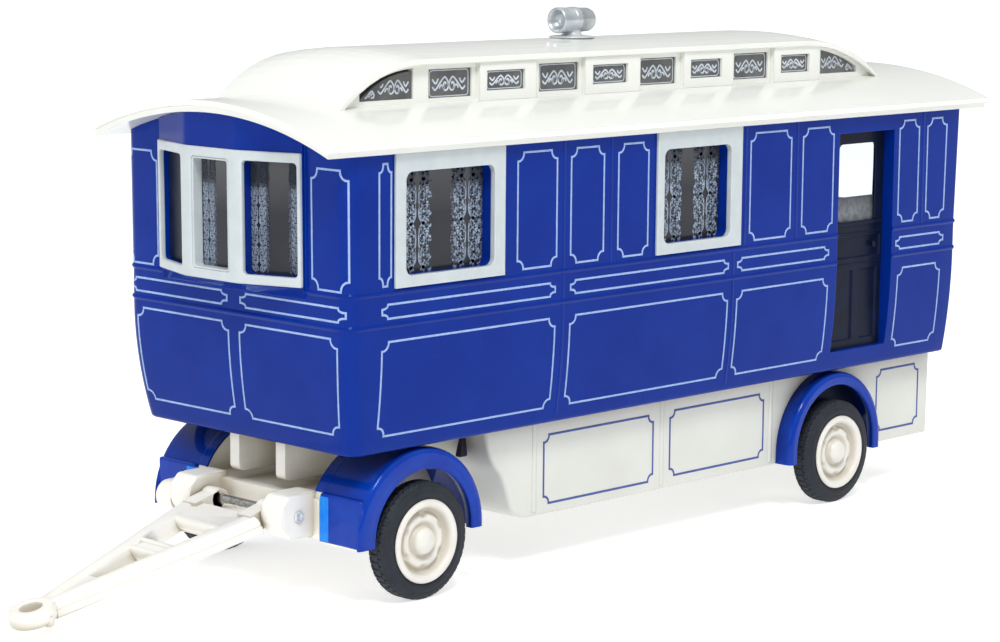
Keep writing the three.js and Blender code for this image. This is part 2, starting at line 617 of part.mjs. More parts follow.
function roof() {
  const layer = (outer, inner, inset) => {
    const slab = underArch(outer, ROOF_REAR + inset, ROOF_FRONT - inset)
      .subtract(underArch(inner, -FAR, FAR));
    return slab.intersect(box(-FAR, FAR, -ROOF_HALF + inset, ROOF_HALF - inset, 0, FAR));
  };
  const upper = layer(ROOF_RADIUS, ROOF_RADIUS - ROOF_LAYER, 0);
  const lower = layer(ROOF_RADIUS - ROOF_LAYER / 2, ROOF_RADIUS - 2 * ROOF_LAYER, ROOF_STEP);
  const hoodHalf = CLER_HALF + CLER_HOOD;
  const hood = clerSlab(0, CLER_SKIN, hoodHalf);
  const block = clerSlab(CLER_SKIN / 2, 12, CLER_HALF);
  const frames = LIGHTS.filter((light) => light.frame).map(({ frame }) =>
    box(frame[0], frame[1], -CLER_HALF - LIGHT_PROUD, CLER_HALF + LIGHT_PROUD,
      CLER_BASE - 1.7, CLER_EDGE - CLER_SKIN + 0.2));
  const belowArch = underArch(ROOF_RADIUS - 2 * ROOF_LAYER, -FAR, FAR);
  const raised = join([block, ...frames, hood]).subtract(belowArch);
  let whole = join([upper, lower, raised]);
  const inner = clerSlab(CLER_SKIN + CLER_LINING, 12, CLER_HALF - CLER_WALL)
    .intersect(box(CLER_REAR + CLER_END, CLER_FRONT - CLER_END, -CLER_HALF, CLER_HALF, 0, FAR));
  whole = whole.subtract(inner);
  const cuts = [];
  for (const { sign } of SIDES) {
    const span = sign > 0 ? [CLER_HALF - CLER_WALL - 0.2, CLER_HALF + 2]
      : [-CLER_HALF - 2, -CLER_HALF + CLER_WALL + 0.2];
    for (const { x, frame } of LIGHTS) {
      cuts.push(frame ? box(x[0], x[1], ...span, PROUD_LOW, PROUD_HIGH)
        : box(x[0], x[1], ...span, LIGHT_LOW, LIGHT_HIGH));
    }
    for (const { x } of END_LIGHTS) {
      cuts.push(prismY(endLightOutline(x), ...span));
    }
  }
  return cut(whole, cuts);
}

function clerGlazing() {
  const outer = CLER_HALF - CLER_WALL - SEAT_GAP;
  const xs = clerStations();
  const low = LIGHT_LOW - 0.5;
  const below = CLER_SKIN + PANE;
  const points = xs.map((x) => [x, clerProfile(x) - below]).filter(([, z]) => z > low + 0.3);
  const rear = points[0][0];
  const front = points[points.length - 1][0];
  return prismY([[rear, low], [front, low], ...points.reverse()], outer - PANE, outer);
}

// ---------------------------------------------------------------- chimney
// A round bar along the wagon.
function barX(radius, half) {
  const geometry = new THREE.CylinderGeometry(radius, radius, 2 * half, 32);
  geometry.rotateZ(Math.PI / 2);
  geometry.translate(COWL_X, 0, CLER_EDGE + CLER_CAMBER + COWL_LIFT);
  return solid(geometry);
}

function chimney() {
  const top = CLER_EDGE + CLER_CAMBER;
  const cowl = join([
    barX(COWL_RADIUS, COWL_HALF),
    barX(COWL_RADIUS + COWL_STRAP.proud, COWL_STRAP.half),
  ]);
  const neck = postZ(COWL_X, 0, NECK_RADIUS, top, top + COWL_LIFT - COWL_RADIUS + NECK_SINK);
  const flange = postZ(COWL_X, 0, FLANGE.low, top + SEAT_GAP, top + FLANGE.thick, 40, FLANGE.high);
  return join([cowl, neck, flange]).subtract(barX(COWL_RADIUS - COWL_WALL, COWL_HALF + 1))
    .subtract(box(-FAR, FAR, -FAR, FAR, 0, top + SEAT_GAP));
}

// ---------------------------------------------------------------- belly box
function chassisPlate() {
  const inset = WALL + RUN_GAP * 0.5;
  const plate = bodySolid(inset, PLATE_LOW - 5, WAIST_HIGH)
    .intersect(box(-FAR, FAR, -FAR, FAR, PLATE_LOW, PLATE_LOW + PLATE_THICK));
  const ribs = SIDES.map(({ sign }) => {
    const [a, b] = [sign * RIB_IN, sign * RIB_OUT].sort((p, q) => p - q);
    const outline = roundedRect(FRONT_AXLE - RIB_RUN, FRONT_AXLE + RIB_RUN, RIB_LOW, PLATE_LOW + ROOT,
      RIB_RADIUS, 0.01);
    return prismY(outline, a, b, CORNER_STEPS);
  });
  const boss = postZ(FRONT_AXLE, 0, TURNTABLE_RADIUS, RIB_LOW, PLATE_LOW + ROOT);
  const pinHole = postZ(FRONT_AXLE, 0, KINGPIN_RADIUS + PRESS_GAP, RIB_LOW - 1, PLATE_LOW - PIN_COVER);
  return join([plate, ...ribs, boss]).subtract(pinHole);
}

// The S of the belly box's front, bottom to top, moved forward by shift.
function sweep(shift = 0) {
  const x = SWEEP_FRONT + shift;
  const path = new THREE.Path();
  path.moveTo(x - 9.5, SKIRT_LOW);
  path.quadraticCurveTo(x - 6.1, SKIRT_LOW + 0.2, x - 5.4, SKIRT_LOW + 2.8);
  path.quadraticCurveTo(x - 4.6, SKIRT_LOW + 5.8, x - 3.3, SKIRT_LOW + 7.6);
  path.quadraticCurveTo(x - 1.4, SKIRT_LOW + 9.4, x - 0.8, SKIRT_LOW + 11.8);
  path.lineTo(x, PLATE_LOW - SEAT_GAP);
  return path.getPoints(5).map((point) => [point.x, point.y]);
}

// Side of the belly box, with the wheel arch cut out.
function skirtSide() {
  const outline = [[SKIRT_REAR, SKIRT_LOW], ...sweep(), [SKIRT_REAR, PLATE_LOW - SEAT_GAP]];
  const arch = prismY(guardArch(REAR_AXLE, REAR_GUARD, SEAT_GAP), SKIRT_HALF - 5, SKIRT_HALF + 5);
  return prismY(outline, SKIRT_HALF - SKIRT_WALL, SKIRT_HALF).subtract(arch);
}

// An arch in (x, z): upright legs down to foot, and a round top.
function archOutline(middle, half, rise, foot) {
  const steps = 16;
  const points = [[middle - half, foot], [middle + half, foot]];
  for (let k = 0; k <= steps; k++) {
    const a = Math.PI * (k / steps);
    points.push([middle + half * Math.cos(a), GUARD_SPRING + rise * Math.sin(a)]);
  }
  return points;
}

// A mudguard's outer arch, moved out by margin, and the wheel's opening in its lip.
const guardArch = (axle, row, margin, foot = 0) => archOutline(
  axle + row.shift, guardHalf(row) + margin, guardRise(row) + margin, foot);
const guardOpening = (axle, row, foot) => archOutline(
  axle + row.openShift, WHEEL_RADIUS + row.gap, WHEEL_RADIUS + row.head, foot);

// The band between two arches, as one outline: out along the outer arch and back along the inner.
function archBand(outer, inner) {
  const [footA, footB, ...outerTop] = outer;
  const innerTop = inner.slice(2);
  const foot = footA[1];
  return [footA, [innerTop[innerTop.length - 1][0], foot], ...innerTop.reverse(),
    [innerTop[innerTop.length - 1][0], foot], footB, ...outerTop];
}

// An outline extruded to a given depth with its edges chamfered inward on both faces.
function roundedExtrude(outline, depth, round) {
  return new THREE.ExtrudeGeometry(asShape(outline), {
    depth: depth - 2 * round,
    bevelEnabled: true,
    bevelThickness: round,
    bevelSize: round,
    bevelOffset: -round,
    bevelSegments: 1,
  }).translate(0, 0, round);
}

// The barrel over a wheel, open towards the wagon, with a lip turned in at its outer face.
function mudguard(axle, row, inner, frontLimit) {
  const barrel = prismY(guardArch(axle, row, 0, row.foot), inner, GUARD_OUT - GUARD_ROUND)
    .subtract(prismY(guardArch(axle, row, -GUARD_SKIN), inner - 1, GUARD_OUT + 1))
    .intersect(box(-FAR, frontLimit, 0, FAR, 0, FAR));
  const lip = solid(roundedExtrude(archBand(guardArch(axle, row, 0, row.foot), guardOpening(axle, row, 0)),
    GUARD_LIP, GUARD_ROUND).rotateX(Math.PI / 2).translate(0, GUARD_OUT, 0));
  return join([barrel, lip]);
}

// The front wall of the belly box follows the S; the rear wall is flat.
function skirtFront() {
  const inside = SKIRT_HALF - SKIRT_WALL - SEAT_GAP;
  return prismY([...sweep(), ...sweep(-SKIRT_WALL).reverse()], -inside, inside);
}

function skirtRear() {
  const inside = SKIRT_HALF - SKIRT_WALL - SEAT_GAP;
  return box(SKIRT_REAR, SKIRT_REAR + SKIRT_WALL, -inside, inside, SKIRT_LOW, PLATE_LOW - SEAT_GAP);
}

function axleCarrier() {
  const { length, half, down, legs, up } = CARRIER;
  const [back, front] = [REAR_AXLE - length / 2, REAR_AXLE + length / 2];
  const block = box(back, front, -half, half, WHEEL_RADIUS - down, PLATE_LOW - SEAT_GAP);
  const relief = box(back - 1, front + 1, -legs, legs, 0, WHEEL_RADIUS + up);
  return cut(block, [relief, barY(REAR_AXLE, WHEEL_RADIUS, AXLE_RADIUS + TURN_GAP, -half - 1, half + 1)]);
}

// ---------------------------------------------------------------- wheels
function tyre(axle, sign) {
  const outer = TYRE_OUT;
  const inner = TYRE_OUT - TYRE_WIDTH;
  const bead = RIM_RADIUS - 0.35;
  const profile = [
    [bead, inner + 0.5], [RIM_RADIUS + 0.4, inner], [WHEEL_RADIUS - 1.1, inner + 0.1],
    [WHEEL_RADIUS - 0.35, inner + 0.5], [WHEEL_RADIUS, inner + 1.1], [WHEEL_RADIUS, outer - 1.1],
    [WHEEL_RADIUS - 0.35, outer - 0.5], [WHEEL_RADIUS - 1.1, outer - 0.1], [RIM_RADIUS + 0.4, outer],
    [bead, outer - 0.3], [bead, inner + 0.5],
  ];
  return mirrorY(turned(profile, axle, WHEEL_RADIUS, WHEEL_SIDES), sign);
}

function hub(axle, sign) {
  const seat = RIM_RADIUS - 0.35 - SEAT_GAP;
  const face = TYRE_OUT;
  const inner = TYRE_OUT - TYRE_WIDTH;
  const bore = AXLE_RADIUS + SEAT_GAP;
  const profile = [
    [bore, inner - 0.6], [2.2, inner - 0.6], [2.2, inner + 0.6], [seat, inner + 0.8],
    [seat, face - 0.25], [RIM_RADIUS, face + SEAT_GAP], [RIM_RADIUS - 0.15, face + 0.35],
    [RIM_RADIUS - 0.75, face + 0.35], [RIM_RADIUS - 1.15, face - 0.9], [3.4, face - 0.7],
    [2.6, face - 0.9], [2.1, face - 0.6], [1.9, face + 0.1], [1.35, face + 0.5], [bore, face + 0.6],
    [bore, inner - 0.6],
  ];
  return mirrorY(turned(profile, axle, WHEEL_RADIUS, WHEEL_SIDES), sign);
}

function axle(x) {
  return barY(x, WHEEL_RADIUS, AXLE_RADIUS, -TYRE_OUT - 0.3, TYRE_OUT + 0.3);
}

// ---------------------------------------------------------------- bogie
// A lug in (x, z) with a round nose about the middle of its height.
function lugOutline(back, nose, low, high) {
  const radius = (high - low) / 2;
  const shape = new THREE.Shape();
  shape.moveTo(back, low);
  shape.lineTo(nose - radius, low);
  shape.absarc(nose - radius, low + radius, radius, -Math.PI / 2, Math.PI / 2, false);
  shape.lineTo(back, high);
  return shape;
}

function bogieFrame() {
  const beam = box(BEAM_FRONT - BEAM_DEPTH, BEAM_FRONT, -BEAM_HALF, BEAM_HALF, BEAM_LOW, BEAM_TOP);
  const deck = box(FRONT_AXLE - DECK_REACH, BEAM_FRONT - 1, -BEAM_HALF, BEAM_HALF, BEAM_TOP - DECK, BEAM_TOP);
  const turntable = postZ(FRONT_AXLE, 0, TURNTABLE_RADIUS, BEAM_TOP - 1, RIB_LOW - RUN_GAP);
  const slotHalf = AXLE_RADIUS + TURN_GAP * 0.5;
  const cheekArch = guardArch(FRONT_AXLE, FRONT_GUARD, 0);
  const aboveDeck = box(-FAR, BEAM_FRONT - 0.1, -FAR, FAR, BEAM_TOP - DECK * 0.5, FAR);
  const cheek = prismY(cheekArch, BEAM_HALF - CHEEK, BEAM_HALF).intersect(aboveDeck);
  const bearing = box(FRONT_AXLE - BEARING.half, FRONT_AXLE + BEARING.half,
    BEAM_HALF - BEARING.inner, BEAM_HALF - BEARING.outer, BEARING_LOW, BEAM_TOP);
  const nose = PIN_X + LUG_RADIUS;
  const lug = prismY(lugOutline(BEAM_FRONT - LUG_SINK, nose, PIN_Z - LUG_RADIUS, PIN_Z + LUG_RADIUS),
    LUG_IN, LUG_OUT, 8);
  const sidePieces = SIDES.flatMap(({ sign }) => [cheek, bearing, lug].map((piece) => mirrorY(piece, sign)));
  const stub = prismY(lugOutline(BEAM_FRONT + SEAT_GAP, nose, PIN_Z - STUB.down, PIN_Z + STUB.up),
    -STUB.out, -LUG_OUT, 8);
  return cut(join([beam, deck, turntable, ...sidePieces, stub]), [
    barY(FRONT_AXLE, WHEEL_RADIUS, AXLE_RADIUS + TURN_GAP, -FAR, FAR),
    box(FRONT_AXLE - slotHalf, FRONT_AXLE + slotHalf, -FAR, FAR, 0, WHEEL_RADIUS),
    barY(PIN_X, PIN_Z, PIN_RADIUS + SEAT_GAP, -LUG_OUT - 0.5, LUG_OUT + 1),
    postZ(FRONT_AXLE, 0, KINGPIN_RADIUS + 0.15, 0, FAR),
  ]);
}

function frontGuard() {
  const inner = BEAM_HALF + SEAT_GAP;
  const arch = mudguard(FRONT_AXLE, FRONT_GUARD, inner, BEAM_FRONT);
  const apron = box(BEAM_FRONT - APRON_SKIN, BEAM_FRONT, inner, GUARD_OUT - GUARD_ROUND,
    FRONT_GUARD.foot, APRON_TOP);
  return join([arch, apron]);
}

function kingpin() {
  const deckLow = BEAM_TOP - DECK - RUN_GAP;
  const shank = postZ(FRONT_AXLE, 0, KINGPIN_RADIUS, deckLow, PLATE_LOW - PIN_COVER - SEAT_GAP, 24);
  const head = postZ(FRONT_AXLE, 0, KINGPIN_RADIUS + KINGPIN_HEAD.proud,
    deckLow - KINGPIN_HEAD.thick, deckLow + 0.01, 24);
  return join([shank, head]);
}

// ---------------------------------------------------------------- drawbar
// Made flat with its pin at the origin and its eye out along +X, then tilted down to the eye's lift.
const EYE_REACH = BAR_LENGTH + EYE_RADIUS;
const EYE_UNDER = EYE_THICK - BAR_TOP;
const BAR_TILT = Math.asin((PIN_Z - EYE_LIFT) / Math.hypot(EYE_REACH, EYE_UNDER))
  - Math.atan(EYE_UNDER / EYE_REACH);
const BAR_TIP = PIN_X + EYE_REACH * Math.cos(BAR_TILT) + BAR_TOP * Math.sin(BAR_TILT);

// Half outline of the two converging bars: distance from the pin, half width.
const BAR_SHAPE = [[3.9, 8.9], [12.7, 7.1], [21.7, 5.2], [30.7, 3.2], [35.3, 2.2]];
// Openings between the bars: near end, its half width, far end, its half width.
const BAR_OPENINGS = [[-3, 4.8, 3.95, 4.8], [9.05, 5, 15.05, 4.1], [18.85, 3.1, 27.65, 0.6]];

function drawbarFlat() {
  const root = LUG_IN - RUN_GAP;
  const half = [[0, root], [LUG_RADIUS + RUN_GAP, root], ...BAR_SHAPE];
  const outline = [...half.map(([x, y]) => [x, -y]), ...half.reverse()];
  const bars = prismZ(outline, BAR_TOP - BAR_THICK, BAR_TOP);
  const knuckle = barY(0, 0, KNUCKLE_RADIUS, -root, root);
  const eye = postZ(BAR_LENGTH, 0, EYE_RADIUS, -EYE_UNDER, BAR_TOP, 36);
  const nubs = SIDES.map(({ sign }) => mirrorY(box(BAR_LENGTH + NUB.near, BAR_LENGTH + NUB.far,
    NUB.inner, NUB.outer, -EYE_UNDER - NUB.deep, 0), sign));
  const openings = BAR_OPENINGS.map(([near, nearHalf, far, farHalf]) => prismZ(
    [[near, -nearHalf], [far, -farHalf], [far, farHalf], [near, nearHalf]], -FAR, FAR));
  return cut(join([bars, knuckle, eye, ...nubs]), [
    ...openings,
    postZ(BAR_LENGTH, 0, EYE_HOLE, -FAR, FAR, 28),
    barY(0, 0, PIN_RADIUS + TURN_GAP, -root - 1, root + 1),
  ]);
}

// ---------------------------------------------------------------- assembly
const body = new THREE.Group();
const bogie = new THREE.Group();
wagon.add(body, bogie);

add('body_shell', bodyShell(), BLUE, body);
add('roof', roof(), CREAM, body);
add('chimney', chimney(), SILVER, body);
add('front_bay_frame', frontFrame(), WHITE, body);
add('front_glazing', frontGlazing(), SMOKE, body);
add('rear_window_frame', rearFrame(), WHITE, body);
add('rear_glazing', rearGlazing(), CLEAR, body);
for (const { name, sign } of SIDES) {
  SIDE_WINDOWS.forEach((window, k) => {
    add(`${name}_window_frame_${k + 1}`, mirrorY(sideFrame(window), sign), WHITE, body);
  });
  add(`${name}_glazing`, mirrorY(sideGlazing(), sign), SMOKE, body);
  add(`${name}_door`, mirrorY(door(), sign), NAVY, body);
  add(`${name}_clerestory_glazing`, mirrorY(clerGlazing(), sign), SMOKE, body);
  add(`${name}_skirt`, mirrorY(skirtSide(), sign), IVORY, body);
  const guard = mudguard(REAR_AXLE, REAR_GUARD, SKIRT_HALF - SKIRT_WALL, FAR);
  add(`rear_mudguard_${name}`, mirrorY(guard, sign), BLUE, body);
}
add('chassis_plate', chassisPlate(), IVORY, body);
add('front_skirt', skirtFront(), IVORY, body);
add('rear_skirt', skirtRear(), IVORY, body);
add('rear_axle_carrier', axleCarrier(), IVORY, body);
add('kingpin', kingpin(), STEEL, body);

add('bogie_frame', bogieFrame(), IVORY, bogie);
for (const { name, sign } of SIDES) {
  add(`front_mudguard_${name}`, mirrorY(frontGuard(), sign), BLUE, bogie);
}
add('drawbar_pin', barY(PIN_X, PIN_Z, PIN_RADIUS, -LUG_OUT - 0.1, LUG_OUT + 0.1), STEEL, bogie);

const drawbar = new THREE.Group();
drawbar.position.set(PIN_X, 0, PIN_Z);
drawbar.rotation.y = BAR_TILT;
bogie.add(drawbar);
add('drawbar', drawbarFlat(), IVORY, drawbar);

for (const { prefix, x } of [{ prefix: 'front', x: FRONT_AXLE }, { prefix: 'rear', x: REAR_AXLE }]) {
  add(`${prefix}_axle`, axle(x), STEEL);
  for (const { name, sign } of SIDES) {
    add(`${prefix}_hub_${name}`, hub(x, sign), IVORY);
    add(`${prefix}_tyre_${name}`, tyre(x, sign), TYRE);
  }
}

// The origin is at the middle of the whole length, from the rear of the roof to the tip of the eye.
wagon.position.x = -(ROOF_REAR + BAR_TIP) / 2;
export default wagon;
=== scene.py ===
"""Looks of a showman's living wagon model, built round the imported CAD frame.

Sizes are in millimetres. X runs forward from the middle of the body, Y to the left and Z up
from the ground, and place() turns such a point into the frame's metres.
"""

import math

import bmesh
import bpy
from mathutils import Matrix, Vector


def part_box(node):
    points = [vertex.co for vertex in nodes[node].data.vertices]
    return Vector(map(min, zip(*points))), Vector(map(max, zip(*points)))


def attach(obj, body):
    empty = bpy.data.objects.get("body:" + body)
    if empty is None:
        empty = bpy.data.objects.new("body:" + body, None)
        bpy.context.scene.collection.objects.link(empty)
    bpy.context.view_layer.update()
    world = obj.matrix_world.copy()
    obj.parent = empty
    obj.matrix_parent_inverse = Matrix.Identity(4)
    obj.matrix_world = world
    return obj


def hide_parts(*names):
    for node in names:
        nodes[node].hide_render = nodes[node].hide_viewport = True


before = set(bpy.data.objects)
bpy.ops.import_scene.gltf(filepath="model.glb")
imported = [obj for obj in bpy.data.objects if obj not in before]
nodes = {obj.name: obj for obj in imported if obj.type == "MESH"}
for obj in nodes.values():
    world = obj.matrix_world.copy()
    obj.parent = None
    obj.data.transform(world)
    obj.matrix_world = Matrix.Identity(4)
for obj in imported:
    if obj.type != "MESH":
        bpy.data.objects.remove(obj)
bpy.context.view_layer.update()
scene = bpy.context.scene

# ---------------------------------------------------------------- sizes from the frame
MM = 0.001
BODY_FRONT = 70.0
BODY_REAR = -70.0
ORIGIN = Vector((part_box("rear_skirt")[0].x / MM - BODY_REAR, 0, 0))
SIDES = ("left", "right")


def place(x, y, z):
    """A point in millimetres, as a point of the frame in metres."""
    return (Vector((x, y, z)) + ORIGIN) * MM


def box(node):
    """Lowest and highest corner of a CAD node, in millimetres from the middle of the body."""
    low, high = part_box(node)
    return low / MM - ORIGIN, high / MM - ORIGIN


FRAME_PROUD = 0.4
BODY_HALF = box("left_window_frame_1")[1].y - FRAME_PROUD
BODY_BOTTOM = box("body_shell")[0].z
WAIST_LOW = BODY_BOTTOM + 17.2
WAIST_HIGH = BODY_BOTTOM + 22.2
SIDE_TUCK = 1.4
REAR_TUCK = 0.2
FRONT_TUCK = 1.9
FRONT_CORNER = 2.2
REAR_CORNER = 0.6
WALL = 2.2
# The end walls lean outward by a share of the height above the waist, and the rear one stands a
# little further out. What lies nearer the middle than LEAN_START doesn't move.
FRONT_LEAN = 0.012
REAR_LEAN = 0.04
REAR_OUT = 0.3
LEAN_START = 62.5
# How far the wall's lower lip hangs below the CAD body.
LIP_DROP = 0.45
SILL = BODY_BOTTOM + 24.3
HEAD = BODY_BOTTOM + 38.7
GLASS = box("left_glazing")[1].y
ROOF_CROWN = BODY_BOTTOM + 47.86
CLER_BASE = BODY_BOTTOM + 48.3
ROOF_HALF = box("roof")[1].y
ROOF_RISE = 4.88
ROOF_RADIUS = (ROOF_HALF ** 2 + ROOF_RISE ** 2) / (2 * ROOF_RISE)
EAVES = 1.75


def middle_of(node):
    """Middle of a CAD node's box, as [x, y, z]."""
    return [(a + b) / 2 for a, b in zip(*box(node))]


TYRE_LOW, TYRE_HIGH = box("front_tyre_left")
WHEEL_RADIUS = TYRE_HIGH.z / 2
TYRE_OUT = TYRE_HIGH.y
TYRE_IN = TYRE_LOW.y
RIM_RADIUS = WHEEL_RADIUS - 2.45
FRONT_AXLE = middle_of("front_tyre_left")[0]
REAR_AXLE = middle_of("rear_tyre_left")[0]
SKIRT_CORNER, SKIRT_FAR = box("left_skirt")
SKIRT_HALF = SKIRT_FAR.y
SKIRT_LOW = SKIRT_CORNER.z
SKIRT_TOP = SKIRT_FAR.z
SWEEP_FRONT = SKIRT_FAR.x
GUARD_LOW, GUARD_HIGH = box("front_mudguard_left")
BEAM_FRONT = GUARD_HIGH.x - 0.95
GUARD_OUT = GUARD_HIGH.y
FRONT_GUARD_IN = GUARD_LOW.y
REAR_GUARD_IN = box("rear_mudguard_left")[0].y
PIN_X, _, PIN_Z = middle_of("drawbar_pin")

# Openings of the body, front edge first; both sides have the same ones.
WINDOWS = [(59.6, 42.2), (5.7, -10.0)]
WINDOW_RADIUS = 1.2
DOORWAY = (-37.7, -52.5)
DOOR_SILL = BODY_BOTTOM + 2.8
REAR_WINDOW_HALF = 8.0

# Front bay, a shallow bow of three facets.
BAY_FRONT = BODY_FRONT + 3.8
BAY_SIDE = BODY_FRONT + 0.5
BAY_MIDDLE = 5.6
BAY_HALF = 15.4
BAY_LIGHT_HALF = BAY_MIDDLE - 1.6
BAY_BOTTOM = BODY_BOTTOM + 22.6
BAY_MERGE = BAY_BOTTOM - 1.6
BAY_LIGHTS = (SILL - 0.2, HEAD + 1.2)

# ---------------------------------------------------------------- camera, light and floor
CAMERA_AT = (324.55, 300.95, 98.06)
CAMERA_YAW = math.radians(224.29)
CAMERA_PITCH = math.radians(8.51)
CAMERA_ROLL = math.radians(0.46)
CAMERA_LENS = 100.99


def make_camera():
    data = bpy.data.cameras.new("camera")
    data.lens = CAMERA_LENS
    data.sensor_width = 36
    data.clip_start = 0.01
    data.clip_end = 100
    level = math.cos(CAMERA_PITCH)
    forward = Vector((level * math.cos(CAMERA_YAW), level * math.sin(CAMERA_YAW), -math.sin(CAMERA_PITCH)))
    right = forward.cross(Vector((0, 0, 1))).normalized()
    up = right.cross(forward)
    rolled_right = right * math.cos(CAMERA_ROLL) + up * math.sin(CAMERA_ROLL)
    rolled_up = up * math.cos(CAMERA_ROLL) - right * math.sin(CAMERA_ROLL)
    turn = Matrix((rolled_right, rolled_up, -forward)).transposed()
    camera = bpy.data.objects.new("camera", data)
    camera.matrix_world = Matrix.Translation(place(*CAMERA_AT)) @ turn.to_4x4()
    scene.collection.objects.link(camera)
    scene.camera = camera


def make_light(name, at, size, power, target=(0, 0, 0.04)):
    """A soft rectangular light at a point in metres, aimed at the wagon."""
    data = bpy.data.lights.new(name, "AREA")
    data.shape = "RECTANGLE"
    data.size, data.size_y = size
    data.energy = power
    light = bpy.data.objects.new(name, data)
    light.location = at
    light.rotation_mode = "QUATERNION"
    light.rotation_quaternion = (Vector(at) - Vector(target)).to_track_quat("Z", "Y")
    scene.collection.objects.link(light)


def make_sky():
    """Soft light from all round, stronger overhead than at the horizon."""
    world = bpy.data.worlds.new("studio")
    scene.world = world
    world.use_nodes = True
    tree = world.node_tree
    background = tree.nodes["Background"]
    background.inputs["Color"].default_value = (0.97, 0.985, 1.0, 1)
    where = tree.nodes.new("ShaderNodeTexCoord")
    parts = tree.nodes.new("ShaderNodeSeparateXYZ")
    strength = tree.nodes.new("ShaderNodeMapRange")
    strength.inputs["From Min"].default_value = 0.05
    strength.inputs["To Min"].default_value = 0.4
    strength.inputs["To Max"].default_value = 0.95
    tree.links.new(where.outputs["Generated"], parts.inputs["Vector"])
    tree.links.new(parts.outputs["Z"], strength.inputs["Value"])
    tree.links.new(strength.outputs["Result"], background.inputs["Strength"])


def make_stage():
    make_sky()
    reach = 60
    mesh = bpy.data.meshes.new("floor")
    corners = [(-reach, -reach, 0), (reach, -reach, 0), (reach, reach, 0), (-reach, reach, 0)]
    mesh.from_pydata(corners, [], [(0, 1, 2, 3)])
    floor = bpy.data.objects.new("floor", mesh)
    scene.collection.objects.link(floor)
    paper = bpy.data.materials.new("floor_paper")
    paper.use_nodes = True
    shader = paper.node_tree.nodes["Principled BSDF"]
    shader.inputs["Base Color"].default_value = (0.72, 0.72, 0.72, 1)
    shader.inputs["Roughness"].default_value = 0.9
    shader.inputs["Specular IOR Level"].default_value = 0.0
    shader.inputs["Emission Color"].default_value = (1, 1, 1, 1)
    shader.inputs["Emission Strength"].default_value = 0.6
    mesh.materials.append(paper)
    scene.view_settings.view_transform = "Standard"
    make_light("key", (0.36, 0.43, 0.76), (0.22, 0.22), 4.6)
    make_light("front", (0.9, 0.05, 0.3), (0.3, 0.3), 0.9)


# ---------------------------------------------------------------- finishes
def rgb(red, green, blue):
    """An sRGB colour of 0 to 255, as linear RGBA."""
    linear = [v / 255 / 12.92 if v <= 10 else ((v / 255 + 0.055) / 1.055) ** 2.4 for v in (red, green, blue)]
    return (*linear, 1)


def finish(name, color, other, rough, *, patch=6.0, grain=0.35, relief=0.004, edge=None,
           edge_width=0.25, hollow=None, reach=2.2, fade=None, **shader_values):
    """A moulded or painted surface: its colour drifts between two tones over patches of that size,
    its roughness varies with them, and a fine grain of the given size and relief covers it.
    edge is a painted highlight: the lighter tone laid where the surface turns over its edges. hollow is
    painted shade: the darker tone laid where other surfaces stand within reach. fade (from height, to
    height, tone) is the tone it fades to; the sizes are in millimetres."""
    material = bpy.data.materials.new(name)
    material.use_nodes = True
    tree = material.node_tree
    shader = tree.nodes["Principled BSDF"]
    for key, value in shader_values.items():
        shader.inputs[key.replace("_", " ")].default_value = value

    def node(kind, **inputs):
        made = tree.nodes.new(kind)
        for key, value in inputs.items():
            made.inputs[key.replace("_", " ")].default_value = value
        return made

    def blend(tone, target, share):
        mixed = tree.nodes.new("ShaderNodeMixRGB")
        mixed.inputs["Color2"].default_value = target
        tree.links.new(share, mixed.inputs["Fac"])
        tree.links.new(tone, mixed.inputs["Color1"])
        return mixed.outputs["Color"]

    def join(source, output, target, socket):
        tree.links.new(source.outputs[output], target.inputs[socket])

    where = node("ShaderNodeTexCoord")
    drift = node("ShaderNodeTexNoise", Scale=1 / (patch * MM), Detail=3.0, Roughness=0.55)
    join(where, "Object", drift, "Vector")
    tones = node("ShaderNodeValToRGB")
    for stop, position, value in zip(tones.color_ramp.elements, (0.32, 0.72), (color, other)):
        stop.position = position
        stop.color = value
    join(drift, "Fac", tones, "Fac")
    tone = tones.outputs["Color"]

    if fade is not None:
        low, high, target = fade
        parts = node("ShaderNodeSeparateXYZ")
        join(where, "Object", parts, "Vector")
        height = node("ShaderNodeMapRange", From_Min=low * MM, From_Max=high * MM)
        join(parts, "Z", height, "Value")
        tone = blend(tone, target, height.outputs["Result"])
    # Painted shade: recesses, found by ambient occlusion, take the darker hollow tone.
    if hollow is not None:
        shade = node("ShaderNodeAmbientOcclusion", Distance=reach * MM)
        shade.samples = 8
        depth = node("ShaderNodeMapRange", From_Min=0.85, From_Max=0.4, To_Max=0.9)
        join(shade, "AO", depth, "Value")
        tone = blend(tone, hollow, depth.outputs["Result"])
    corner = node("ShaderNodeBevel", Radius=edge_width * MM)
    corner.samples = 4
    # Painted highlight: where the bevel's rounded normal turns away from the true one, at the edges, the tone
    # lightens towards edge.
    if edge is not None:
        facing = node("ShaderNodeVectorMath")
        facing.operation = "DOT_PRODUCT"
        geometry = node("ShaderNodeNewGeometry")
        join(corner, "Normal", facing, 0)
        join(geometry, "Normal", facing, 1)
        edge_highlight_mask = node("ShaderNodeMapRange", From_Min=0.98, From_Max=0.8, To_Max=0.7)
        join(facing, "Value", edge_highlight_mask, "Value")
        tone = blend(tone, edge, edge_highlight_mask.outputs["Result"])
    tree.links.new(tone, shader.inputs["Base Color"])

    gloss = node("ShaderNodeMapRange", To_Min=rough * 0.82, To_Max=min(1.0, rough * 1.25))
    join(drift, "Fac", gloss, "Value")
    join(gloss, "Result", shader, "Roughness")

    fine = node("ShaderNodeTexNoise", Scale=1 / (grain * MM), Detail=2.0)
    join(where, "Object", fine, "Vector")
    bump = node("ShaderNodeBump", Strength=1.0, Distance=relief * MM)
    join(fine, "Fac", bump, "Height")
    join(corner, "Normal", bump, "Normal")
    join(bump, "Normal", shader, "Normal")
    return material
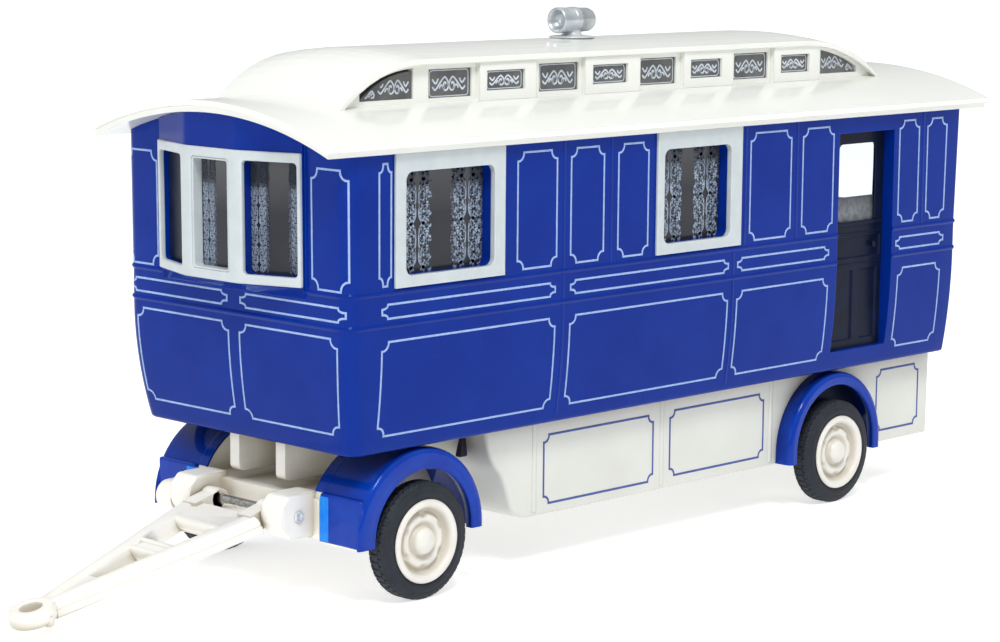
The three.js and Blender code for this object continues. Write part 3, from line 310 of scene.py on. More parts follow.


# The edge tones below are painted highlights on edges, and the hollow tones are painted shade in recesses.
BLUE = finish("blue_paint", rgb(2, 38, 128), rgb(5, 44, 136), 0.14, patch=9, grain=1.6, relief=0.003,
              edge=rgb(16, 74, 196), Specular_IOR_Level=0.09)
GUARD_BLUE = finish("guard_paint", rgb(0, 46, 148), rgb(4, 58, 164), 0.1, patch=5, grain=1.2, relief=0.003,
                    edge=rgb(16, 84, 210), hollow=rgb(4, 26, 84), reach=7, Specular_IOR_Level=0.2)
# Near-black lining of the rear wheel arches: painted shade of the shadow inside the arches.
ARCH_SHADE = finish("arch_painted_shade", rgb(10, 18, 40), rgb(16, 26, 56), 0.4, patch=3, Specular_IOR_Level=0.1)
AZURE = finish("thin_blue_paint", rgb(8, 116, 222), rgb(24, 136, 230), 0.3, patch=1.2, Specular_IOR_Level=0.2)
LINING = finish("lining_paint", rgb(142, 168, 216), rgb(166, 190, 232), 0.45, patch=0.8, relief=0.002,
                Specular_IOR_Level=0.2)
BLUE_LINING = finish("blue_lining_paint", rgb(66, 84, 150), rgb(88, 102, 166), 0.5, patch=0.8,
                     Specular_IOR_Level=0.2)
CREAM = finish("cream_plastic", rgb(235, 236, 230), rgb(229, 230, 223), 0.3, patch=14, grain=0.5,
               relief=0.002, Specular_IOR_Level=0.4, Coat_Weight=0.4, Coat_Roughness=0.08)
IVORY = finish("ivory_plastic", rgb(240, 238, 230), rgb(234, 231, 221), 0.36, patch=7, grain=0.3,
               relief=0.003, hollow=rgb(176, 166, 146), reach=5)
SKIRT = finish("skirt_plastic", rgb(213, 214, 207), rgb(206, 207, 199), 0.42, patch=11, grain=0.25,
               relief=0.004, hollow=rgb(160, 157, 146), reach=8)
WHITE = finish("white_paint", rgb(190, 198, 200), rgb(182, 190, 192), 0.32, patch=2.5, grain=0.8,
               relief=0.004, edge=rgb(238, 246, 250), edge_width=0.35)
NAVY = finish("navy_plastic", rgb(14, 20, 38), rgb(20, 27, 50), 0.3, patch=3, grain=0.3,
              edge=rgb(40, 52, 96), Specular_IOR_Level=0.1)
# Near-black finish of the fixing posts: their blue paint darkened as painted shade, under the body.
POST_SHADE = finish("post_painted_shade", rgb(34, 34, 48), rgb(44, 44, 62), 0.4, patch=2, Specular_IOR_Level=0.2)
RUBBER = finish("tyre_rubber", rgb(34, 38, 44), rgb(45, 49, 56), 0.55, patch=1.6, grain=0.12, relief=0.008,
                edge=rgb(78, 86, 96), edge_width=0.12, Specular_IOR_Level=0.2)
HUB = finish("hub_plastic", rgb(226, 224, 217), rgb(218, 215, 206), 0.36, patch=3, grain=0.25,
             hollow=rgb(186, 175, 152), reach=3)
PALE_SILVER = finish("pale_silver_paint", rgb(216, 220, 222), rgb(200, 204, 207), 0.3, patch=1.5, grain=0.12,
                     Metallic=0.25)
SILVER = finish("silver_paint", rgb(206, 212, 216), rgb(184, 190, 194), 0.3, patch=1.5, grain=0.12,
                relief=0.006, Metallic=0.75)
STEEL = finish("bright_steel", rgb(206, 204, 200), rgb(150, 146, 140), 0.22, patch=0.5, grain=0.1,
               relief=0.004, Metallic=1.0)
# The lace prints darken above this height: painted shade cast by the frames and eaves over the top of the
# panes.
LACE_SHADE_LINE = HEAD - 2.6
LACE = finish("lace_print", rgb(132, 146, 166), rgb(176, 190, 208), 0.5, patch=2.2,
              fade=(LACE_SHADE_LINE - 0.4, LACE_SHADE_LINE + 0.6, rgb(74, 80, 92)), Specular_IOR_Level=0.1)
FAINT_LACE = finish("faint_lace_print", rgb(90, 96, 114), rgb(122, 130, 148), 0.5, patch=2.2,
                    fade=(LACE_SHADE_LINE - 0.4, LACE_SHADE_LINE + 0.6, rgb(62, 66, 76)), Specular_IOR_Level=0.1)
SCROLL = finish("scroll_print", rgb(196, 206, 220), rgb(226, 232, 240), 0.5, patch=1.4,
                Specular_IOR_Level=0.1)
# The smoked glass lightens towards the head of the window: painted light.
SMOKE = finish("smoked_glass", rgb(34, 36, 44), rgb(46, 47, 52), 0.1, patch=9, grain=3, relief=0.001,
               fade=(SILL + 8, HEAD, rgb(84, 84, 86)), Specular_IOR_Level=0.25)
CLER_SMOKE = finish("clerestory_glass", rgb(78, 80, 82), rgb(104, 104, 102), 0.12, patch=4, relief=0.001,
                    Specular_IOR_Level=0.3)
SHADED_GLASS = finish("shaded_glass", rgb(20, 26, 44), rgb(30, 36, 54), 0.2, patch=3, relief=0.001,
                      Specular_IOR_Level=0.05)
CLEAR = finish("clear_glass", rgb(240, 246, 248), rgb(228, 236, 240), 0.06, patch=12, relief=0.0005,
               Transmission_Weight=1.0, IOR=1.3)
CURTAIN = finish("curtain_print", rgb(92, 96, 100), rgb(134, 138, 142), 0.4, patch=1.1,
                 fade=(SILL + 1, SILL + 4.5, rgb(60, 62, 64)), Specular_IOR_Level=0.2)


# ---------------------------------------------------------------- meshes
class Shape:
    """Points, in millimetres, and faces of one mesh."""

    def __init__(self):
        self.points = []
        self.faces = []

    def add(self, points, faces):
        base = len(self.points)
        self.points.extend(tuple(point) for point in points)
        self.faces.extend(tuple(base + k for k in face) for face in faces)
        return self

    def sweep(self, rings, looped=False):
        """Skins closed rings of points, all of one count; the ends are capped unless it loops."""
        count = len(rings[0])
        rows = len(rings)
        faces = []
        for i in range(rows if looped else rows - 1):
            here, after = i * count, (i + 1) % rows * count
            for j in range(count):
                k = (j + 1) % count
                faces.append((here + j, here + k, after + k, after + j))
        if not looped:
            faces.append(tuple(range(count)))
            faces.append(tuple(range((rows - 1) * count, rows * count)))
        return self.add([point for ring in rings for point in ring], faces)

    def block(self, low, high):
        (x0, y0, z0), (x1, y1, z1) = low, high
        return self.sweep([[(x, y0, z0), (x, y1, z0), (x, y1, z1), (x, y0, z1)] for x in (x0, x1)])

    def prism(self, outline, place_point, near, far):
        """An outline of (u, v) carried from near to far by place_point(u, v, depth)."""
        return self.sweep([[place_point(u, v, depth) for u, v in outline] for depth in (near, far)])

    def mirrored(self):
        flipped = Shape()
        flipped.points = [(x, -y, z) for x, y, z in self.points]
        flipped.faces = [face[::-1] for face in self.faces]
        return flipped


def sided(shape, side):
    """A shape that was made for the left, for the side of that name."""
    return shape if side == "left" else shape.mirrored()


def angles(count):
    """So many angles, evenly round a circle."""
    return [2 * math.pi * k / count for k in range(count)]


def turned(profile, way, u0, v0, steps):
    """A turned shape from its profile of (place along the axis, radius); the axis is at (u0, v0)."""
    return Shape().sweep([[way(u0 + r * math.cos(a), v0 + r * math.sin(a), depth) for a in angles(steps)]
                          for depth, r in profile])


def along_x(u, v, depth):
    return (depth, u, v)


def along_y(u, v, depth):
    return (u, depth, v)


def along_z(u, v, depth):
    return (u, v, depth)


def arc(cu, cv, radius_u, start, end, steps, radius_v=None):
    """Points of an arc between two angles in degrees."""
    rv = radius_u if radius_v is None else radius_v
    turns = [math.radians(start + (end - start) * k / steps) for k in range(steps + 1)]
    return [(cu + radius_u * math.cos(a), cv + rv * math.sin(a)) for a in turns]


def rounded(u0, u1, v0, v1, radius, steps=6):
    """A rectangle with round corners."""
    return (arc(u1 - radius, v0 + radius, radius, -90, 0, steps)
            + arc(u1 - radius, v1 - radius, radius, 0, 90, steps)
            + arc(u0 + radius, v1 - radius, radius, 90, 180, steps)
            + arc(u0 + radius, v0 + radius, radius, 180, 270, steps))


def soften(obj, width, segments=2, angle=35):
    """Rounds the sharp edges of an object by a bevel that is so many millimetres wide."""
    bevel = obj.modifiers.new("soften", "BEVEL")
    bevel.width = width * MM
    bevel.segments = segments
    bevel.limit_method = "ANGLE"
    bevel.angle_limit = math.radians(angle)
    bevel.harden_normals = True
    return obj


def bake(obj):
    """Applies the modifiers of an object to its mesh."""
    made = bpy.data.meshes.new_from_object(obj.evaluated_get(bpy.context.evaluated_depsgraph_get()))
    obj.modifiers.clear()
    obj.data = made
    return obj


def leaned(x, y, z):
    """The ends of the body lean outward above the waist; this moves a point of them with it."""
    share = min(1, max(0, (abs(x) - LEAN_START) / (BODY_FRONT - LEAN_START)))
    high = max(0, z - WAIST_HIGH)
    if x > 0:
        return (x + FRONT_LEAN * high * share, y, z)
    step = REAR_OUT if z > BODY_BOTTOM - 1 else 0
    return (x - (REAR_LEAN * high + step) * share, y, z)


def mesh_object(name, shape):
    mesh = bpy.data.meshes.new(name)
    mesh.from_pydata([place(*leaned(*point)) for point in shape.points], [], shape.faces)
    work = bmesh.new()
    work.from_mesh(mesh)
    bmesh.ops.remove_doubles(work, verts=work.verts, dist=1e-7)
    bmesh.ops.recalc_face_normals(work, faces=work.faces)
    work.to_mesh(mesh)
    work.free()
    obj = bpy.data.objects.new(name, mesh)
    scene.collection.objects.link(obj)
    return obj


def cut(outline, way, near, far):
    """A tool for carve: an outline carried from near to far is taken away."""
    return ("DIFFERENCE", Shape().prism(outline, way, near, far))


def carve(obj, tools):
    """Cuts, joins or intersects an object with other shapes, given as (operation, shape)."""
    helpers = []
    for operation, shape in tools:
        helper = mesh_object("helper", shape)
        step = obj.modifiers.new("carve", "BOOLEAN")
        step.operation = operation
        step.solver = "EXACT"
        step.object = helper
        helpers.append(helper)
    bake(obj)
    for helper in helpers:
        bpy.data.objects.remove(helper)
    return obj


def dress(obj, material, body="body", slot=None, replaces=(), sharp=35):
    """Gives a piece its material, smooth shading and the body that it rides on."""
    obj.data.materials.clear()
    obj.data.materials.append(material)
    obj.data.shade_smooth()
    obj.data.set_sharp_from_angle(angle=math.radians(sharp))
    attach(obj, body)
    if replaces:
        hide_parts(*replaces)
    return obj


def piece(name, shape, material, tools=(), soft=(), **facts):
    """Makes one piece: cuts it with tools, bevels it by soft (width, segments) and dresses it."""
    obj = mesh_object(name, shape)
    if tools:
        carve(obj, tools)
    if soft:
        soften(obj, *soft)
    return dress(obj, material, **facts)


def pairs(*rows):
    """Makes pieces for the left and then their mirror images for the right. A row is the name,
    shape, material and other facts of a piece; {side} in a name stands for the side."""
    for side in SIDES:
        for name, shape, material, facts in rows:
            own = dict(facts)
            own["replaces"] = [node.format(side=side) for node in facts.get("replaces", ())]
            own["tools"] = [(operation, sided(tool, side)) for operation, tool in facts.get("tools", ())]
            piece(name.format(side=side), sided(shape, side), material, **own)


def pair(name, shape, material, **facts):
    pairs((name, shape, material, facts))


def curve(points, steps=4):
    """A smooth line through the given points."""
    ends = [points[0]] + list(points) + [points[-1]]
    path = []
    for k in range(1, len(ends) - 2):
        p0, p1, p2, p3 = (Vector(point) for point in ends[k - 1:k + 3])
        for j in range(steps):
            t = j / steps
            path.append(tuple(0.5 * (2 * p1 + (p2 - p0) * t + (2 * p0 - 5 * p1 + 4 * p2 - p3) * t * t
                                     + (3 * p1 - p0 - 3 * p2 + p3) * t ** 3)))
    path.append(tuple(points[-1]))
    return path


def ribbon(shape, path, width, surface, lift=0.03, sink=0.06, looped=True, reach=2.5, crown=0.0):
    """A line of that width along a path of (u, v), laid on surface(u, v, out) in steps of at most
    reach. A crown raises its middle above its edges."""
    fine = []
    count = len(path)
    for k in range(count if looped else count - 1):
        (u0, v0), (u1, v1) = path[k], path[(k + 1) % count]
        steps = max(1, math.ceil(math.hypot(u1 - u0, v1 - v0) / reach))
        fine.extend((u0 + (u1 - u0) * j / steps, v0 + (v1 - v0) * j / steps) for j in range(steps))
    if not looped:
        fine.append(path[-1])
    rings = []
    total = len(fine)
    for k, (u, v) in enumerate(fine):
        before = fine[k - 1] if looped or k > 0 else fine[k]
        after = fine[(k + 1) % total] if looped or k + 1 < total else fine[k]
        enter = Vector((u - before[0], v - before[1]))
        leave = Vector((after[0] - u, after[1] - v))
        enter = enter.normalized() if enter.length else leave.normalized()
        leave = leave.normalized() if leave.length else enter
        normal = Vector((-(enter.y + leave.y), enter.x + leave.x))
        normal.normalize()
        spread = width / 2 / max(0.5, normal.dot(Vector((-enter.y, enter.x))))
        across = [(1, lift), (-1, lift), (-1, -sink), (1, -sink)]
        if crown:
            across = [(1, 0), (0.55, crown * 0.8), (0, crown), (-0.55, crown * 0.8), (-1, 0)]
            across += [(-1, -sink), (1, -sink)]
        rings.append([surface(u + normal.x * spread * way, v + normal.y * spread * way, out)
                      for way, out in across])
    shape.sweep(rings, looped)


# ---------------------------------------------------------------- body
# Half height and depth of the ridges at the waist, and the radius of the wall's lower lip.
RIDGE_HALF = 0.42
RIDGE_OUT = 0.25
LIP = 0.5


def tuck(z):
    """How far the lower wall has curved in at height z, from 0 at the waist to 1 at the bottom."""
    return max(0.0, (WAIST_LOW - z) / (WAIST_LOW - BODY_BOTTOM)) ** 2


def wall_ring(z, out, steps=8, lengthwise=40, crosswise=14):
    """Outline of the body at height z, moved outward by out."""
    front = BODY_FRONT - FRONT_TUCK * tuck(z) + out
    rear = BODY_REAR + REAR_TUCK * tuck(z) - out
    half = BODY_HALF - SIDE_TUCK * tuck(z) + out
    ring = []
    corners = [(rear, -half, REAR_CORNER, 180, crosswise), (front, -half, FRONT_CORNER, 270, lengthwise),
               (front, half, FRONT_CORNER, 0, crosswise), (rear, half, REAR_CORNER, 90, lengthwise)]
    for x, y, radius, start, steps_before in corners:
        r = max(0.3, radius + out)
        bend = arc(x - math.copysign(r, x), y - math.copysign(r, y), r, start, start + 90, steps)
        ring.append((steps_before, bend))
    outline = []
    for k, (_, bend) in enumerate(ring):
        steps_after, following = ring[(k + 1) % 4]
        outline.extend(bend)
        (u0, v0), (u1, v1) = bend[-1], following[0]
        outline.extend((u0 + (u1 - u0) * j / steps_after, v0 + (v1 - v0) * j / steps_after)
                       for j in range(1, steps_after))
    return [(x, y, z) for x, y in outline]


def wall_levels():
    """Heights and outward steps of the outer skin: round lower lip, curved wall and two ridges."""
    base = BODY_BOTTOM - LIP_DROP
    levels = [(base + LIP * (1 - math.cos(a)), -LIP * (1 - math.sin(a)))
              for a in [math.radians(22.5 * k) for k in range(5)]]
    rows = 15
    start = base + LIP
    levels += [(start + (WAIST_LOW - start) * k / rows, 0) for k in range(1, rows + 1)]
    for middle in (WAIST_LOW + 0.5, WAIST_HIGH):
        for k in range(9):
            share = k / 4 - 1
            levels.append((middle + RIDGE_HALF * share, RIDGE_OUT * math.cos(share * math.pi / 2) ** 1.3))
    top = ROOF_CROWN + 1
    levels += [(WAIST_HIGH + 1 + (top - WAIST_HIGH - 1) * k / 8, 0) for k in range(9)]
    return levels


def bay_outline(inset, back):
    """Plan of the bay moved inward by inset, as (x, y), from right to left."""
    run = BAY_HALF - BAY_MIDDLE
    fall = BAY_FRONT - BAY_SIDE
    across = inset * math.hypot(fall, run) / run
    middle = BAY_MIDDLE + (inset - across) * run / fall
    half = BAY_HALF - inset
    side = BAY_SIDE - across + fall / run * inset
    front = BAY_FRONT - inset
    return [(back, -half), (side, -half), (front, -middle), (front, middle), (side, half), (back, half)]


def bay_light_tools(clear):
    """Blocks that cut the three lights through the bay's facets, widened by clear."""
    low, high = BAY_LIGHTS[0] - clear, BAY_LIGHTS[1] + clear
    half = BAY_LIGHT_HALF + clear
    facet = Vector((BAY_SIDE - BAY_FRONT, BAY_HALF - BAY_MIDDLE, 0))
    length = facet.length
    facet.normalize()
    normal = facet.cross(Vector((0, 0, 1)))
    start = Vector((BAY_FRONT, BAY_MIDDLE, 0))

    def on_facet(u, v, depth):
        return tuple(start + facet * u + normal * depth + Vector((0, 0, v)))

    side = Shape().prism(rounded(0.95 - clear, length - 0.75 + clear, low, high, 0.6), on_facet, -3.4, 1.4)
    middle = Shape().prism(rounded(-half, half, low, high, 0.6), along_x, BAY_FRONT - 4, BAY_FRONT + 2)
    return [middle, side, side.mirrored()]


def body_shell():
    clear = 0.04
    top = ROOF_CROWN + 2
    outer = Shape().sweep([wall_ring(z, out) for z, out in wall_levels()])
    bay = Shape().prism(bay_outline(0, BODY_FRONT - 6), along_z, BAY_BOTTOM, top)
    slope = Shape().sweep([[(min(x, BODY_FRONT - 0.02) if z < BAY_BOTTOM else x, y, z)
                            for x, y in bay_outline(0, BODY_FRONT - 6)]
                           for z in (BAY_MERGE, BAY_BOTTOM + 0.01)])
    inner = Shape().sweep([wall_ring(z, -WALL, 3, 6, 3)
                           for z in [BODY_BOTTOM - 1] + [BODY_BOTTOM + 3 * k for k in range(6)] + [top + 1]])
    inner_bay = Shape().prism(bay_outline(WALL, BODY_FRONT - 6), along_z, BAY_BOTTOM + 0.6, top + 1)
    tools = [("UNION", bay), ("UNION", slope), ("DIFFERENCE", inner), ("DIFFERENCE", inner_bay)]
    for front, rear in WINDOWS:
        hole = rounded(rear - clear, front + clear, SILL - clear, HEAD + clear, WINDOW_RADIUS + clear, 8)
        tools.append(cut(hole, along_y, -40, 40))
    doorway = rounded(DOORWAY[1], DOORWAY[0], DOOR_SILL, HEAD, 0.25, 3)
    tools.append(cut(doorway, along_y, -40, 40))
    hole = rounded(-REAR_WINDOW_HALF - clear, REAR_WINDOW_HALF + clear, SILL - clear, HEAD + clear,
                   WINDOW_RADIUS + clear, 8)
    tools.append(cut(hole, along_x, BODY_REAR - 3, BODY_REAR + 5))
    tools += [("DIFFERENCE", light) for light in bay_light_tools(clear)]
    radius = ROOF_RADIUS - EAVES
    reach = math.degrees(math.asin(30 / radius))
    arch = [(-30, 0), (30, 0)] + arc(0, ROOF_CROWN - ROOF_RADIUS, radius, 90 - reach, 90 + reach, 48)
    tools.append(("INTERSECT", Shape().prism(arch, along_x, -120, 120)))
    piece("body", outer, BLUE, tools, slot="body_blue", replaces=["body_shell"], sharp=32)


def end_frames():
    """Painted frames of the bay and of the rear window, which lean with their walls."""
    low, high = box("front_bay_frame")
    band = Shape().prism(bay_outline(-FRAME_PROUD, BODY_FRONT - 1), along_z, low.z, high.z)
    behind = Shape().prism(bay_outline(0.5, BODY_FRONT - 10), along_z, low.z - 1, high.z + 2)
    between = Shape().block((BODY_FRONT - 20, low.y, 0), (BODY_FRONT + 20, high.y, 100))
    tools = [("INTERSECT", between), ("DIFFERENCE", behind)]
    tools += [("DIFFERENCE", light) for light in bay_light_tools(0)]
    piece("bay_frame_band", band, WHITE, tools, soft=(0.3, 3), slot="frame_white",
          replaces=["front_bay_frame"])
    low, high = box("rear_window_frame")
    plate = Shape().block(tuple(low), tuple(high))
    hole = rounded(-REAR_WINDOW_HALF, REAR_WINDOW_HALF, SILL, HEAD, WINDOW_RADIUS, 8)
    opening = [cut(hole, along_x, low.x - 2, high.x + 2)]
    piece("rear_frame_band", plate, WHITE, opening, soft=(0.3, 3), slot="frame_white",
          replaces=["rear_window_frame"])


# ---------------------------------------------------------------- lining and beads of the body
# Width of a line, and the place along wall_point's line where the front corner begins.
LINE = 0.31
BEND_START = BODY_HALF - FRONT_CORNER


def wall_point(s, z, out):
    """Point of the outer wall: s runs from the middle of the front, round the left corner and back."""
    front = BODY_FRONT - FRONT_TUCK * tuck(z) + out
    half = BODY_HALF - SIDE_TUCK * tuck(z) + out
    bend = FRONT_CORNER * math.pi / 2
    straight = half - FRONT_CORNER - out
    if s <= BEND_START:
        return (front, s * straight / BEND_START, z)
    if s <= BEND_START + bend:
        a = (s - BEND_START) / FRONT_CORNER
        r = FRONT_CORNER + out
        return (front - r + r * math.cos(a), straight + r * math.sin(a), z)
    return (BODY_FRONT - FRONT_CORNER - (s - BEND_START - bend), half, z)


def side_s(x):
    """Place along wall_point's line of a point of the side."""
    return BEND_START + FRONT_CORNER * math.pi / 2 + BODY_FRONT - FRONT_CORNER - x


def rear_point(y, z, out):
    return (BODY_REAR + REAR_TUCK * tuck(z) - out, y, z)


def skirt_point(x, z, out):
    return (x, SKIRT_HALF + out, z)


def notched(u0, u1, v0, v1, notch=(1.1, 1.1), shoulder=0.1):
    """A panel line whose corners are scooped in."""
    nu, nv = notch
    bottom_right = [(u1 - shoulder - nu, v0)] + arc(u1 - shoulder, v0 + shoulder, nu, 180, 90, 5, nv)
    top_right = [(u1, v1 - shoulder - nv)] + arc(u1 - shoulder, v1 - shoulder, nu, 270, 180, 5, nv)
    top_left = [(u0 + shoulder + nu, v1)] + arc(u0 + shoulder, v1 - shoulder, nu, 0, -90, 5, nv)
    bottom_left = [(u0, v0 + shoulder + nv)] + arc(u0 + shoulder, v0 + shoulder, nu, 90, 0, 5, nv)
    return (bottom_right + [(u1, v0 + shoulder + nv)] + top_right + [(u1 - shoulder - nu, v1)]
            + top_left + [(u0, v1 - shoulder - nv)] + bottom_left + [(u0 + shoulder + nu, v0)])


# Heights of the three rows of panels.
UPPER_ROW = (BODY_BOTTOM + 23.17, BODY_BOTTOM + 40)
WAIST_ROW = (BODY_BOTTOM + 18.64, BODY_BOTTOM + 20.6)
LOWER_ROW = (BODY_BOTTOM + 2.05, BODY_BOTTOM + 15.4)


def panel_rows():
    """Lined panels of the side wall: (front x, rear x, low z, high z, notch)."""
    upper = [(37.2, 29), (26, 18.9), (15.7, 9), (-15.1, -25.2), (-28.2, -36.1), (-53.9, -59.3),
             (-61.7, -66.6)]
    waist = [(63.75, 29.2), (25.9, -10.1), (-12.4, -35.4), (-53.6, -66.7)]
    lower = [(63.75, 29.16), (25.93, -10.1), (-12.41, -35.39), (-54.4, -66.1)]
    rows = [(a, b, *UPPER_ROW, (1.1, 1.15)) for a, b in upper]
    rows.append((64.3, 62.1, *UPPER_ROW, (0.6, 1.1)))
    rows += [(a, b, *WAIST_ROW, (0.95, 0.5)) for a, b in waist]
    rows += [(a, b, *LOWER_ROW, (1.15, 1.15)) for a, b in lower]
    return rows


def lining():
    side = Shape()
    for front, rear, low, high, notch in panel_rows():
        ribbon(side, notched(side_s(front), side_s(rear), low, high, notch), LINE, wall_point)
    front = Shape()
    for u0, u1, low, high, notch in [(1.45, 23.1, *WAIST_ROW, (1.1, 0.5)),
                                     (1.2, 21.7, BODY_BOTTOM + 2.6, BODY_BOTTOM + 16.2, (1.3, 1.15)),
                                     (16.7, 23.6, BODY_BOTTOM + 22.8, BODY_BOTTOM + 39.4, (1.1, 1.3))]:
        ribbon(front, notched(u0, u1, low, high, notch), LINE, wall_point, reach=0.4)
    rear = Shape()
    for y0, y1, low, high, notch in [(1.45, 22.2, *WAIST_ROW, (1.0, 0.5)),
                                     (1.2, 21.6, *LOWER_ROW, (1.15, 1.15)),
                                     (11.6, 21.8, UPPER_ROW[0], UPPER_ROW[1] - 1, (1.1, 1.15))]:
        ribbon(rear, notched(y0, y1, low, high, notch), LINE, rear_point)
    for name, shape in {"side": side, "front": front, "rear": rear}.items():
        pair(name + "_lining_{side}", shape, LINING)


def beads():
    """Low upright beads where the panels of the wall meet."""
    shape = Shape()
    upper = (WAIST_HIGH + 0.3, BODY_BOTTOM + 41.5)
    waist = (WAIST_LOW + 0.8, WAIST_HIGH - 0.3)
    lower = (BODY_BOTTOM + 0.6, WAIST_LOW + 0.2)
    rows = [(x, upper) for x in (27.5, 17.3, -13.85, -26.7, -60.5)]
    rows += [(x, span) for x in (27.5, -11.3) for span in (waist, lower)]
    for x, (low, high) in rows:
        s = side_s(x)
        ribbon(shape, [(s, low), (s, high)], 0.7, wall_point, looped=False, reach=1.2, crown=0.07)
    pair("panel_beads_{side}", shape, BLUE)


# ---------------------------------------------------------------- lace and scrolls on the glazing
LACE_REPEAT = 6.15
# The bright stem beside the middle line, over one repeat: distance from the line, height.
LACE_STEM = [(1.0, 0.0), (0.42, 0.75), (0.3, 1.4), (0.36, 2.0), (0.62, 2.45), (0.36, 2.95), (0.3, 3.7),
             (0.34, 4.6), (0.48, 5.4), (1.0, 6.15)]
# Columns of curls beside the stem: distance from the middle line, size, width.
LACE_COLUMNS = [(0.8, 0.27, 0.34), (1.35, 0.28, 0.36), (1.9, 0.27, 0.33), (2.45, 0.26, 0.3),
                (2.95, 0.24, 0.26), (3.4, 0.22, 0.22)]
LACE_ROWS = 11


def curl(size, turn, hand, coils=0.62, steps=6):
    """A curl that winds in from its foot, about its middle."""
    path = []
    for k in range(steps + 1):
        t = k / steps
        a = math.radians(turn) + hand * coils * 2 * math.pi * t
        r = size * (1 - 0.35 * t)
        path.append((r * math.cos(a), r * math.sin(a)))
    return path


def lace_band(bright, faint, surface, middle, clip, low, high, half, scale=1.0):
    """A band of curtain lace that mirrors about an upright middle line, kept inside clip."""
    repeat = LACE_REPEAT * scale
    repeats = math.ceil((high - low) / repeat) + 1

    def inside(u, v, margin):
        return clip[0] + margin < u < clip[1] - margin and low + margin < v < high - margin

    for k in range(repeats):
        foot = high - 1.6 * scale - k * repeat
        for way in (1, -1):
            stem = [(middle + way * u * scale, foot + v * scale) for u, v in curve(LACE_STEM, 3)]
            stem = [point for point in stem if inside(*point, 0.12)]
            if len(stem) > 2:
                ribbon(bright, stem, 0.26 * scale, surface, lift=0.02, sink=0.02, looped=False)
            for row in range(LACE_ROWS):
                for column, (across, size, width) in enumerate(LACE_COLUMNS):
                    if across > half / scale:
                        continue
                    stagger = 0.12 * ((row * 3 + column * 5) % 4 - 1.5)
                    shift = 0.5 if column == 0 and row in (0, LACE_ROWS - 1) else 0
                    u = middle + way * (across + stagger * 0.6 + shift) * scale
                    v = foot + ((row + 0.5) * LACE_REPEAT / LACE_ROWS + stagger) * scale
                    if not inside(u, v, size * scale):
                        continue
                    turn = (row * 137 + column * 83) % 360
                    hand = 1 if (row + column) % 2 else -1
                    path = [(u + way * x * scale, v + y * scale) for x, y in curl(size, turn, hand)]
                    dim = column > 3 or (row * 5 + column * 3) % 7 == 0
                    ribbon(faint if dim else bright, path, width * scale, surface, lift=0.02, sink=0.02,
                           looped=False)


def pane_at(face):
    """Surface of an upright pane of a side, whose outer face is that far from the middle."""
    def on_pane(x, z, out):
        return (x, face + out, z)
    return on_pane


# How far the bay's glazing stands behind its wall, the face of the deeper middle pane, and the
# heights between which the bay's lace is printed.
BAY_INSET = BODY_HALF - GLASS
BAY_PANE = BAY_FRONT - 1.5
BAY_LACE_SPAN = (BAY_LIGHTS[0] + 0.1, BAY_LIGHTS[1] - 0.1)
# Prints are shaded smoothly up to this angle between their faces.
FINE = {"sharp": 60}


def bay_glass(u, z, out):
    """Point of the bay's glazing: u runs across the bow from the middle to the left."""
    plan = bay_outline(BAY_INSET, BODY_FRONT)
    front, middle = plan[3]
    side, half = plan[4]
    if abs(u) <= middle:
        return (front + out, u, z)
    facet = Vector((side - front, half - middle)).normalized()
    run = abs(u) - middle
    x = front + facet.x * run + facet.y * out
    y = middle + facet.y * run - facet.x * out
    return (x, math.copysign(y, u), z)


def lace():
    low, high = SILL - 0.1, HEAD + 0.1
    bright, faint = Shape(), Shape()
    # Bands of one side: middle, edges of the print, half width.
    for middle, clip, half in [(55.0, (52.3, 58.2), 2.9), (45.2, (41.6, 48.6), 3.5), (1.6, (-1.5, 4.3), 2.9),
                               (-6.9, (-10.0, -3.9), 3.0)]:
        lace_band(bright, faint, pane_at(GLASS), middle, clip, low, high, half)
    pairs(("side_lace_{side}", bright, LACE, FINE), ("side_faint_lace_{side}", faint, FAINT_LACE, FINE))
    bright, faint = Shape(), Shape()
    for middle, clip in [(6.9, (4.6, 9.1)), (13.4, (11.3, 15.4)), (-13.4, (-15.4, -11.3)),
                         (-6.9, (-9.1, -5.6))]:
        lace_band(bright, faint, bay_glass, middle, clip, *BAY_LACE_SPAN, 2.3, 0.45)
    piece("bay_lace", bright, LACE, **FINE)
    piece("bay_faint_lace", faint, FAINT_LACE, **FINE)


def middle_glass(y, z, out):
    return (BAY_PANE + out, y, z)


